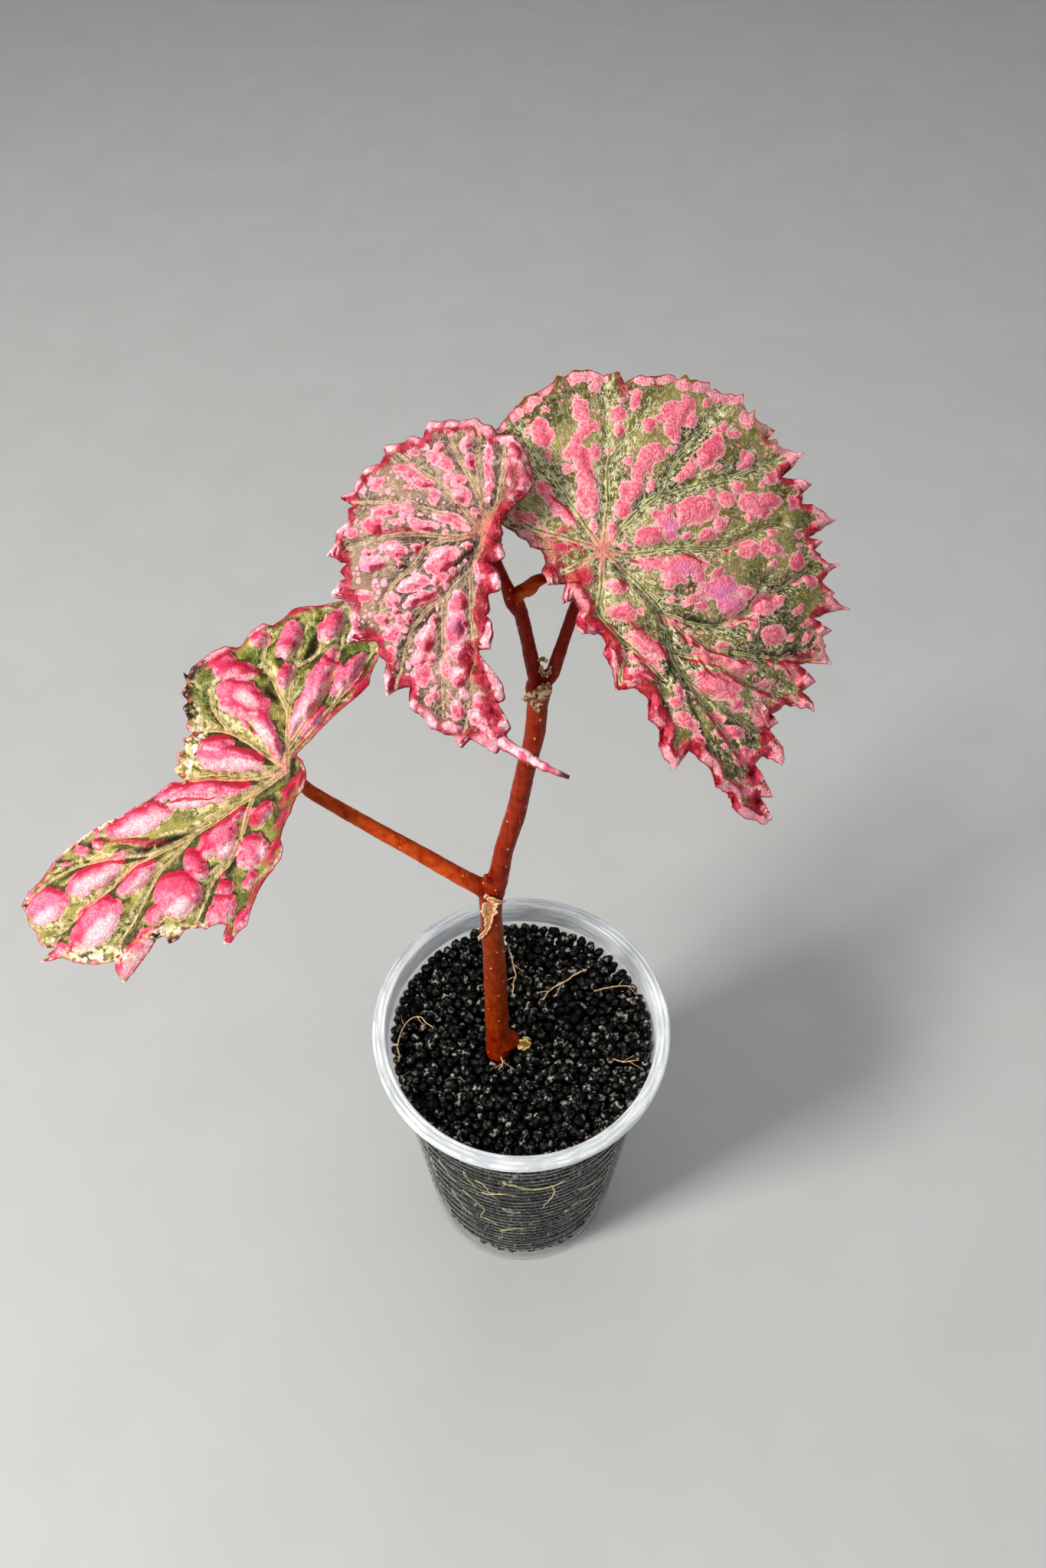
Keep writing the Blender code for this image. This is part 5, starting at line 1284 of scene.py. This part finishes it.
def wall_centres():
    """Granule places against the wall, in jittered rows up it."""
    draw = np.random.default_rng(6)
    found = []
    for row, z in enumerate(np.arange(*WALL_ROWS)):
        radius = wall_radius(z) - CUP_WALL - RIB_DEPTH - 0.95 * GRANULE
        count = int(2 * np.pi * radius / WALL_PITCH)
        turn = 2 * np.pi * (np.arange(count) + 0.5 * (row % 2)) / count + draw.uniform(-0.014, 0.014, count)
        away = radius - draw.uniform(0.0, 0.6, count)
        found.append(around_axis(away, turn, z + draw.uniform(-0.45, 0.45, count)))
    return np.vstack(found)


def fill_core(material):
    """The dark body of the fill behind the granules that show."""
    profile = [(0.0, 1.9), (25.0, 1.9), (wall_radius(8.0) - 3.4, 8.0), (wall_radius(90.0) - 3.6, 90.0),
               (29.0, 92.0), (0.0, 92.0)]
    points, faces = turned(rounded(profile, 1.5), 64)
    levels = {"shade": np.zeros(len(points))}
    turn_outwards(make_piece("fill_core", points, faces, [material], "granules", ("soil",), levels))


def granule_skin():
    """Black baked clay: a grey bloom in patches on top, partly dusty and partly a painted highlight, small
    pits, and a dull shine.
    """
    material, g, shader = new_material("granule_skin")
    shade = g.level("shade")
    base = g.mix(shade, paint(2, 2, 2), paint(14, 12, 11))
    # partly a dusty bloom, partly a painted highlight: grey patches on the upward faces of some beads
    dust_and_highlight = g.noise(1.0).ramp(0.50, 0.68) * g.upward().ramp(0.3, 0.9, 0.04, 1.0)
    base = g.mix(dust_and_highlight * shade.ramp(0.25, 0.85, 0.1, 1.0), base, paint(176, 172, 162))
    height = g.noise(0.5, 3.0, 0.6) + g.cells(0.45)[0] * 0.6
    dress(g, shader, base, g.noise(1.1, 3.0).ramp(0.3, 0.7, 0.14, 0.4), g.bump(height, 0.18), 0.1)
    return material


def clear_plastic(name, tints, clearness, gloss, bending, body):
    """Clear plastic with faint marks that run round it. It has more body where it is seen edge on, and on the
    crests of its ribs, where this paints pale lines for the ribs' highlights. Lamps reach what is inside,
    because a shadow ray finds it mostly open."""
    material, g, shader = new_material(name)
    marks = g.noise(0.6, 3.0, 0.6, g.ringed())
    colour = g.mix(marks.ramp(0.4, 0.6), *tints)
    shadow = g.node("LightPath")["Is Shadow Ray"]
    edge_on = g.node("LayerWeight", {"Blend": 0.3})["Facing"].ramp(0.6, 1.0, 0.0, 0.2)
    # painted highlight: more body on the rib crests draws pale lines along them
    crest = g.level("crest").ramp(0.72, 0.95, 0.0, 0.32) * marks.ramp(0.40, 0.55, 0.25, 1.0)
    seen = g.math("MINIMUM", 1.0, edge_on + crest + body)
    dress(g, shader, colour, marks.ramp(0.3, 0.7, gloss, gloss + 0.08), g.bump(marks, 0.04, 0.5))
    g.feed(shader.inputs["Alpha"], seen * (1.0 - shadow) + shadow * 0.25)
    g.feed(shader.inputs["Transmission Weight"], clearness)
    g.feed(shader.inputs["IOR"], bending)
    return material


# Cane: spines of (x, y, z, radius), and swollen rings of (height, size, width)
CANE_VOXEL = 0.36
BUD_VOXEL = 0.2
FOOT_SHOULDER = [(-5.4, -3.6, 105.5, 2.2), (-4.2, -3.5, 102.8, 2.4), (-2.4, -3.3, 101.0, 2.2),
                 (-1.0, -3.1, 100.2, 1.5)]
LOW_BUD = [(-6.4, -0.3, 168.4, 0.9), (-7.0, -0.6, 169.8, 0.85), (-7.3, -0.7, 170.8, 0.7),
           (-7.4, -0.7, 171.5, 0.3)]
BUD_BASE = [(-1.2, 0.2, 246.4, 0.9), (-0.4, 0.0, 247.9, 1.15), (0.8, -0.3, 249.6, 1.1),
            (2.4, -0.5, 251.0, 0.95)]
NODE_RINGS = [(162.2, 0.22, 0.8), (226.6, 0.16, 0.7), (118.0, 0.06, 1.2)]


def cad_copy(node):
    """Points in mm and triangles of a CAD node, with its loose corners merged."""
    bm = bmesh.new()
    bm.from_mesh(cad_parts[node].data)
    bmesh.ops.remove_doubles(bm, verts=bm.verts, dist=1e-6)
    points, faces = read_out(bm)
    return points / MM, faces


def refined(name, points, faces, voxel, rounds):
    """The same solid with even, small faces: voxel remeshed, then each point drawn to its neighbours."""
    mesh = bpy.data.meshes.new(name + "_rough")
    mesh.from_pydata((points * MM).tolist(), [], faces)
    rough = in_scene(name + "_rough", mesh)
    remesh = rough.modifiers.new("remesh", "REMESH")
    remesh.mode = "VOXEL"
    remesh.voxel_size = voxel * MM
    smooth = rough.modifiers.new("smooth", "SMOOTH")
    smooth.factor = 0.5
    smooth.iterations = rounds
    bpy.context.view_layer.update()
    made = bpy.data.meshes.new_from_object(rough.evaluated_get(bpy.context.evaluated_depsgraph_get()))
    measures = []
    for measure in ("co", "normal"):
        values = np.empty(len(made.vertices) * 3)
        made.vertices.foreach_get(measure, values)
        measures.append(values.reshape(-1, 3))
    corners = [list(f.vertices) for f in made.polygons]
    bpy.data.objects.remove(rough, do_unlink=True)
    return measures[0] / MM, measures[1], corners


def spine_tube(spine):
    """A round tube along a spine of (x, y, z, radius)."""
    path = smooth_path(spine, 4)
    return tube(path[:, :3], path[:, 3], 16)


def cane(material):
    """The cane and stalks, refined, with swollen rings at the nodes, faint length-wise ribs and lumps."""
    shapes = [cad_copy("stem"), spine_tube(FOOT_SHOULDER), spine_tube(LOW_BUD)]
    points, normals, faces = refined("cane", *joined(shapes), CANE_VOXEL, 7)
    x, y, z = points.T
    out = 0.05 * lattice_noise(x * 2 + y, z, 1.6, 21) + 0.10 * lattice_noise(x, z, 7.0, 22) + 0.06
    for height, size, width in NODE_RINGS:
        out = out + size * hill(z - height, width)
    make_piece("cane", points + normals * out[:, None], faces, [material], "stem", ("stem",))


def cane_skin(effects):
    """Waxy red-brown skin with paler raised dots drawn out along it: more olive low on the cane, orange
    on the stalk to the left, dark red above the fork and amber at the bud."""
    material, g, shader = new_material("cane_skin")
    grain = g.placed(effects["grain"], Softness=0.5)
    side = g.axis(0)
    height = g.axis(2)
    mottled = g.noise(2.2, 4.0, 0.6).ramp(0.3, 0.7)
    colour = g.mix(mottled, paint(116, 18, 0), paint(152, 42, 4))
    low = height.ramp(0.104, 0.116) * height.fall(0.146, 0.163) * 0.85
    at_bud = height.ramp(0.2455, 0.248) * side.ramp(-0.0012, 0.0004) * side.fall(0.006, 0.008) * 0.9
    zones = [(low, paint(110, 34, 0), paint(150, 52, 6)),
             (side.fall(-0.012, -0.008), paint(158, 42, 6), paint(204, 82, 24)),
             (height.ramp(0.222, 0.232), paint(114, 8, 0), paint(150, 26, 2)),
             (at_bud, paint(168, 44, 4), paint(216, 96, 22))]
    for share, dark, light in zones:
        colour = g.mix(share, colour, g.mix(mottled, dark, light))
    streaks = g.noise(0.8, 2.0, 0.5, g.stretched(1.0, 1.0, 0.1))
    colour = g.mix(streaks.ramp(0.5, 0.8, 0.0, 0.3), colour, paint(196, 84, 34))
    distance, chance = g.cells(1.3, g.stretched(1.0, 1.0, 0.6))
    dots = chance.ramp(0.55, 0.6) * distance.fall(0.10, 0.20)
    colour = g.mix(dots * 0.8, colour, paint(244, 190, 132))
    bumps = grain["Height"] * 0.5 + dots
    dress(g, shader, colour, grain["Grain"].ramp(0.2, 0.9, 0.34, 0.5), g.bump(bumps, 0.08), 0.08)
    return material


# Dry scales: torn strips, each a spine of (x, y, z, half width)
SCALES = {
    "stipule_low": [
        [(-7.6, -1.8, 165.5, 0.30), (-6.6, -2.3, 165.0, 0.45), (-5.4, -2.4, 164.3, 0.45),
         (-4.3, -1.8, 163.0, 0.40), (-3.6, -0.8, 161.5, 0.2)],
        [(-6.5, -2.5, 164.0, 1.4), (-6.7, -2.6, 161.2, 1.35), (-7.0, -2.6, 158.8, 0.85),
         (-7.0, -2.9, 156.8, 0.75), (-7.4, -3.0, 154.2, 0.4), (-8.1, -2.8, 151.8, 0.5),
         (-9.1, -2.8, 150.4, 0.3), (-9.3, -2.8, 149.0, 0.1)],
        [(-7.6, -1.9, 164.6, 0.2), (-7.4, -2.2, 165.6, 0.25), (-7.0, -2.2, 166.4, 0.1)]],
    "stipule_fork": [
        [(0.7, -2.1, 227.0, 0.35), (1.4, -2.4, 228.0, 0.30), (2.6, -2.4, 228.6, 0.40),
         (3.7, -2.2, 229.1, 0.35), (4.8, -1.8, 230.2, 0.15)],
        [(1.6, -2.4, 227.8, 0.6), (2.1, -2.6, 226.4, 0.7), (2.6, -2.7, 225.2, 0.5), (3.0, -2.6, 223.9, 0.15)],
        [(5.0, -1.5, 229.2, 0.3), (4.3, -2.1, 228.2, 0.65), (3.5, -2.5, 227.4, 0.6), (3.1, -2.6, 226.4, 0.4),
         (3.8, -2.6, 225.7, 0.15)],
        [(3.8, -2.1, 230.4, 0.12), (3.1, -2.4, 229.5, 0.28), (2.5, -2.5, 228.9, 0.2)],
        [(0.4, -2.0, 226.4, 0.2), (0.7, -2.4, 226.9, 0.45), (1.0, -2.3, 227.5, 0.2)]],
    "stipule_axil": [
        [(3.4, -0.7, 233.1, 0.2), (3.5, -1.1, 232.2, 0.35), (4.0, -1.3, 231.2, 0.3)],
        [(4.8, -0.7, 233.0, 0.2), (4.7, -1.1, 232.1, 0.35), (4.1, -1.3, 231.2, 0.25)],
        [(2.8, -0.2, 233.6, 0.15), (3.5, -0.4, 234.4, 0.3), (4.4, -0.4, 233.8, 0.3)]],
    "basal_scale": [
        [(-0.9, -3.8, 101.5, 0.5), (0.1, -4.1, 101.2, 1.5), (1.3, -4.1, 100.7, 1.4), (2.3, -4.1, 100.2, 0.4)],
        [(0.2, -3.2, 102.0, 0.2), (1.2, -3.2, 101.9, 0.6), (2.1, -3.4, 101.1, 0.3)]],
}
SCALE_WALL = 0.22


def papery_strip(spine, seed):
    """A torn, cupped strip: rows across a spine, made wider or narrower by noise, its sides curled up
    by the square of the distance from the middle, and crumpled by noise."""
    path = smooth_path(spine, 8)
    along = unit(np.gradient(path[:, :3], axis=0))
    across = unit(np.cross(np.array([0.1, -1.0, 0.35]), along))
    facing = unit(np.cross(along, across))
    facing *= np.sign(facing @ np.array([0.0, -1.0, 0.5]))[:, None]
    place = np.linspace(-1.0, 1.0, 13)[None, :]
    run = np.arange(len(path))[:, None]
    torn = 1.0 + 0.35 * lattice_noise(run * 1.0, np.sign(place) * 7.0, 1.7, seed)
    width = 1.15 * path[:, 3:] * torn * place
    lift = 0.30 * place ** 2 * path[:, 3:] + 0.10 * lattice_noise(run * 0.5, place * 3.0, 0.9, seed + 1)
    points = path[:, None, :3] + across[:, None] * width[..., None]
    points = points + facing[:, None] * (lift + 0.25)[..., None]
    edge = np.broadcast_to(np.abs(place), width.shape)
    return points.reshape(-1, 3), grid_faces(*width.shape).tolist(), edge.ravel()


def papery_scale(name, spines, seed, material):
    """The strips of one dry scale, joined and given a thin wall. How near a point is to its strip's
    edge is kept for its colour."""
    strips = [papery_strip(spine, seed + 10 * k) for k, spine in enumerate(spines)]
    shape = joined([(points, faces) for points, faces, _ in strips])
    edges = np.concatenate([edge for _, _, edge in strips])
    piece = make_piece(name + "_paper", *shape, [material], "scale", (name,), {"edge": edges})
    wall = piece.modifiers.new("thickness", "SOLIDIFY")
    wall.thickness = SCALE_WALL * MM
    wall.offset = 0.0


def papery_skin():
    """Dry tissue, brown inside and cream towards its edges, with a fibrous grain: greener at the foot, and at
    the fork painted highlights and shade of crumples, lighter to make up for the shadow of the leaves."""
    material, g, shader = new_material("papery_skin")
    height = g.axis(2)
    fibres = g.noise(0.35, 4.0, 0.65, g.stretched(1.0, 1.0, 0.3))
    fibrous = fibres.ramp(0.35, 0.65)
    inside = g.mix(fibrous, paint(178, 100, 48), paint(234, 168, 110))
    outside = g.mix(fibrous, paint(244, 190, 130), paint(255, 230, 186))
    near_edge = g.level("edge") + (g.noise(0.7, 3.0) - 0.5) * 0.8
    colour = g.mix(near_edge.ramp(0.45, 0.8), inside, outside)
    greener = g.mix(near_edge.ramp(0.3, 0.8), paint(110, 74, 12), paint(206, 186, 104))
    colour = g.mix(height.ramp(0.105, 0.115, 0.75, 0.0), colour, greener)
    # painted highlights and shade of crumples at the fork, lighter to make up for the leaves' shadow
    crumpled = g.mix(g.noise(0.8).ramp(0.42, 0.58), paint(158, 92, 46), paint(252, 224, 184))
    colour = g.mix(height.ramp(0.2, 0.21), colour, crumpled)
    dress(g, shader, colour, fibres.ramp(0.3, 0.7, 0.55, 0.85), g.bump(fibres, 0.15))
    return material


# Roots on the granules: (x, y) of each route's stations, and the root's radius
ROOTS = {
    "root_1": ([(17.2, 18.6), (11.8, 15.2), (7.3, 12.4), (5.6, 9.8)], 0.25),
    "root_2": ([(19.3, 12.2), (24.0, 13.5), (27.5, 13.5), (30.2, 13.0)], 0.24),
    "root_3": ([(-3.0, 24.0), (-2.5, 21.0), (-1.6, 16.5), (-2.6, 11.5)], 0.26),
    "root_4": ([(-31.0, -8.0), (-31.2, -2.0), (-29.4, 3.2), (-26.5, 4.4), (-22.8, 1.8)], 0.22),
    "root_5": ([(23.0, -7.2), (26.2, -8.0), (29.6, -7.4)], 0.20),
    "rootlet": ([(-5.3, -6.6), (-5.0, -8.0), (-5.4, -9.8)], 0.20),
}
ROOT_LIE = 98.1

# Roots against the wall, the first one thicker, and how far inside the crests they lie
WALL_ROOTS_PX = [
    [(657, 1541), (668, 1546), (684, 1551), (701, 1553), (721, 1549), (740, 1539)],
    [(667, 1539), (656, 1549)], [(722, 1550), (724, 1561), (719, 1569), (711, 1581)],
    [(628, 1559), (640, 1562), (657, 1560), (672, 1563)],
    [(622, 1541), (632, 1547), (638, 1558), (650, 1570)],
    [(602, 1558), (618, 1573), (629, 1586), (622, 1598)],
    [(624, 1596), (636, 1602), (645, 1608)], [(650, 1618), (670, 1615), (688, 1616)],
    [(572, 1515), (580, 1530), (592, 1546)], [(742, 1590), (760, 1576), (781, 1570)],
    [(585, 1560), (597, 1580), (612, 1596)], [(605, 1528), (614, 1545), (622, 1552)],
    [(655, 1583), (668, 1590), (680, 1589)], [(760, 1556), (778, 1550), (792, 1543)]]
WALL_ROOT_RADII = (0.4, 0.26)
WALL_ROOT_INSET = 1.95
SIGHT_INSET = 2.0
WALL_SIGHT_Z = 70.0


def tube(path, radii, sides):
    """A round tube with closed ends along a path, its rings square to it."""
    along = unit(np.gradient(path, axis=0))
    helper = np.where(np.abs(along[:, 2:3]) > 0.9, [[1.0, 0.0, 0.0]], [[0.0, 0.0, 1.0]])
    first = unit(np.cross(along, helper))
    second = np.cross(along, first)
    turn = 2 * np.pi * np.arange(sides) / sides
    spokes = first[:, None] * np.cos(turn)[None, :, None] + second[:, None] * np.sin(turn)[None, :, None]
    rings = path[:, None] + spokes * np.asarray(radii)[:, None, None]
    points = np.vstack([path[:1], rings.reshape(-1, 3), path[-1:]])
    return points, capped_faces(len(path), sides, flip=False)


def joined(shapes):
    """Several (points, faces) as one."""
    faces = []
    count = 0
    for shape_points, shape_faces in shapes:
        faces += [[corner + count for corner in face] for face in shape_faces]
        count += len(shape_points)
    return np.vstack([shape_points for shape_points, _ in shapes]), faces


def wandering(route, seed, sway):
    """A smooth path through the route that wanders to the sides by noise."""
    path = smooth_path(route, 14)
    run = np.cumsum(np.r_[0.0, np.linalg.norm(np.diff(path, axis=0), axis=1)])
    drift = np.column_stack([lattice_noise(run, run * 0.0 + k, 1.9, seed + k) for k in range(path.shape[1])])
    return path + sway * drift


def surface_root(name, route, radius, seed, material):
    """A root with two finer ones that leave it, tapering to their tips."""
    flat = wandering(route, seed, 0.35)
    height = ROOT_LIE + 0.25 * lattice_noise(flat[:, 0], flat[:, 1], 2.5, seed + 7)
    path = np.column_stack([flat, height])
    shapes = [tube(path, np.linspace(radius, 0.55 * radius, len(path)), 8)]
    for share, turn in ((0.45, 0.7), (0.72, -0.8)):
        k = int(share * (len(path) - 2))
        heading = math.atan2(path[k + 1, 1] - path[k, 1], path[k + 1, 0] - path[k, 0]) + turn
        reach = np.linspace(0.0, 3.4, 12)
        branch = path[k] + around_axis(reach, heading, -0.05 * reach)
        branch[:, :2] += 0.2 * lattice_noise(reach[:, None], np.array([[0.0, 9.0]]), 1.3, seed + 11)
        shapes.append(tube(branch, np.linspace(0.5 * radius, 0.2 * radius, 12), 6))
    replaced = (name,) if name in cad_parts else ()
    make_piece(name + "_threads", *joined(shapes), [material], "root", replaced)


def on_wall(pixels, inset):
    """Where lines of sight first meet the upright cylinder just inside the wall at mid height."""
    lines = sight_lines(pixels)
    radius = wall_radius(WALL_SIGHT_Z) - inset
    a = np.sum(lines[:, :2] ** 2, axis=1)
    b = lines[:, :2] @ EYE[:2]
    c = EYE[:2] @ EYE[:2] - radius ** 2
    reach = (-b - np.sqrt(b * b - a * c)) / a
    hit = EYE + lines * reach[:, None]
    narrower = (wall_radius(hit[:, 2]) - inset) / radius
    return np.column_stack([hit[:, :2] * narrower[:, None], hit[:, 2]])


def wall_roots(material):
    """Pale roots pressed between the granules and the wall."""
    shapes = []
    for k, pixels in enumerate(WALL_ROOTS_PX):
        path = wandering(on_wall(pixels, SIGHT_INSET), 40 + k, 0.3)
        thick = WALL_ROOT_RADII[min(k, 1)]
        reach = np.hypot(path[:, 0], path[:, 1])
        path[:, :2] *= ((wall_radius(path[:, 2]) - WALL_ROOT_INSET) / reach)[:, None]
        shapes.append(tube(path, np.linspace(thick, 0.4 * thick, len(path)), 8))
    make_piece("wall_roots", *joined(shapes), [material], "root")


def root_skin(name, dark, light):
    """Fine root tissue, mottled between two tones."""
    material, g, shader = new_material(name)
    colour = g.mix(g.noise(0.9, 3.0).ramp(0.35, 0.65), dark, light)
    dress(g, shader, colour, g.noise(0.5).ramp(0.3, 0.7, 0.45, 0.65), g.bump(g.noise(0.25, 3.0), 0.08))
    return material


def growing_tip(material):
    """The sheathed bud, refined from its solid, with folds along it."""
    shape = joined([cad_copy("growing_tip"), spine_tube(BUD_BASE)])
    points, normals, faces = refined("bud", *shape, BUD_VOXEL, 4)
    x, y, z = points.T
    folds = 0.08 * np.sin(5.0 * (y + 0.6 * z)) + 0.10 * lattice_noise(x, z, 1.4, 31)
    make_piece("bud", points + normals * folds[:, None], faces, [material], "stem", ("growing_tip",))


# The centre leaf's rolled tip, as (x, y, z, radius)
LEAF_TAIL = [(-6.0, -21.2, 241.6, 0.9), (-3.4, -23.0, 240.2, 0.95), (0.4, -25.0, 238.9, 0.85),
             (3.8, -26.6, 237.9, 0.6), (7.3, -27.8, 237.0, 0.28)]


def leaf_tail(material):
    """The drawn-out tip, a round roll whose radius swells and shrinks along it by noise."""
    path = smooth_path(LEAF_TAIL, 24)
    bumps = 1.0 + 0.20 * lattice_noise(np.arange(len(path)) * 0.21, np.zeros(len(path)), 1.0, 51)
    points, faces = tube(path[:, :3], path[:, 3] * bumps, 20)
    make_piece("leaf_centre_tail", points, faces, [material], "leaf_brown")


def tail_skin(effects):
    """Pink with white puffs, crimson beneath, and a dark end."""
    material, g, shader = new_material("tail_skin")
    grain = g.placed(effects["grain"], Softness=0.6)
    colour = g.mix(g.noise(1.6, 3.0).ramp(0.4, 0.6), paint(226, 96, 124), paint(252, 206, 214))
    colour = g.mix(g.upward().fall(-0.2, 0.5), colour, paint(170, 14, 40))
    colour = g.mix(g.axis(0).ramp(0.0045, 0.0068), colour, paint(72, 16, 14))
    dress(g, shader, colour, grain["Grain"].ramp(0.2, 0.9, 0.3, 0.5), g.bump(grain["Height"], 0.1))
    return material


# Lamps: name, place in metres, width in metres, watts and colour
LAMPS = [("key", (-0.80, -0.42, 0.88), 0.26, 15.5, (1.0, 0.97, 0.93)),
         ("fill", (0.7, -0.5, 0.7), 0.9, 1.8, (0.93, 0.96, 1.0)),
         ("overhead", (0.0, 0.35, 1.1), 0.8, 2.2, (1.0, 1.0, 1.0))]
LAMP_AIM = Vector((0.0, 0.0, 0.15))
FLOOR_HALF = 3.0


def pale_floor():
    """A wide flat floor with faint cloudy changes of its light grey."""
    material, g, shader = new_material("pale_floor")
    colour = g.mix(g.noise(40.0, 3.0), paint(186, 186, 184), paint(196, 196, 195))
    dress(g, shader, colour, g.noise(15.0).ramp(0.3, 0.7, 0.55, 0.7))
    mesh = bpy.data.meshes.new("floor")
    corners = [(x * FLOOR_HALF, y * FLOOR_HALF, 0) for x, y in ((-1, -1), (1, -1), (1, 1), (-1, 1))]
    mesh.from_pydata(corners, [], [(0, 1, 2, 3)])
    mesh.materials.append(material)
    in_scene("floor", mesh)


def studio_light():
    """Square soft lights that face the plant, and a faint even sky."""
    for name, place, size, watts, colour in LAMPS:
        data = bpy.data.lights.new(name, "AREA")
        data.size = size
        data.energy = watts
        data.color = colour
        light = in_scene(name, data)
        light.location = place
        light.rotation_euler = (LAMP_AIM - light.location).to_track_quat("-Z", "Y").to_euler()
    world = bpy.data.worlds.new("studio")
    world.use_nodes = True
    background = world.node_tree.nodes["Background"]
    background.inputs["Color"].default_value = (0.90, 0.93, 0.96, 1.0)
    background.inputs["Strength"].default_value = 0.28
    bpy.context.scene.world = world


def photo_camera():
    """The photograph's camera: it looks along its path and down by the tilt."""
    data = bpy.data.cameras.new("camera")
    data.sensor_width = SENSOR
    data.lens = FOCAL_PX / PHOTO_HEIGHT_PX * SENSOR
    data.clip_start = 0.01
    data.clip_end = 20.0
    camera = in_scene("camera", data)
    camera.location = EYE * MM
    camera.rotation_euler = (math.pi / 2 - TILT, 0.0, 0.0)
    bpy.context.scene.camera = camera
    bpy.context.scene.view_settings.view_transform = "Standard"


def main():
    photo_camera()
    pale_floor()
    studio_light()
    effects = {"blotch": blotch_effect(), "grain": grain_effect(), "net": net_effect()}
    for leaf, look in ((RIGHT_LEAF, OLIVE_LOOK), (CENTRE_LEAF, BROWN_LOOK), (LEFT_LEAF, YELLOW_LOOK)):
        upper = leaf_skin(leaf["node"] + "_upper", look, effects)
        lower = leaf_under(leaf["node"] + "_under", look, effects)
        leaf_blade(leaf, [upper, lower])
    leaf_tail(tail_skin(effects))
    skin = cane_skin(effects)
    cane(skin)
    growing_tip(skin)
    paper = papery_skin()
    for k, (name, spines) in enumerate(SCALES.items()):
        papery_scale(name, spines, 60 + 3 * k, paper)
    brown_root = root_skin("root_skin", paint(186, 132, 84), paint(238, 206, 156))
    pale_root = root_skin("pale_root_skin", paint(186, 174, 98), paint(238, 230, 168))
    for k, (name, (route, radius)) in enumerate(ROOTS.items()):
        surface_root(name, route, radius, 80 + 5 * k, brown_root)
    wall_roots(pale_root)
    granules = granule_skin()
    beads("granules_top", top_centres(), 26, 7, granules)
    beads("granules_wall", wall_centres(), 22, 8, granules)
    fill_core(granules)
    wall_tints = (paint(222, 226, 222), paint(246, 247, 240))
    cup_wall(clear_plastic("wall_plastic", wall_tints, 0.45, 0.03, 1.2, 0.015))
    rim_tints = (paint(206, 213, 218), paint(253, 254, 254))
    cup_rim(clear_plastic("rim_plastic", rim_tints, 0.25, 0.12, 1.46, 0.9))


main()
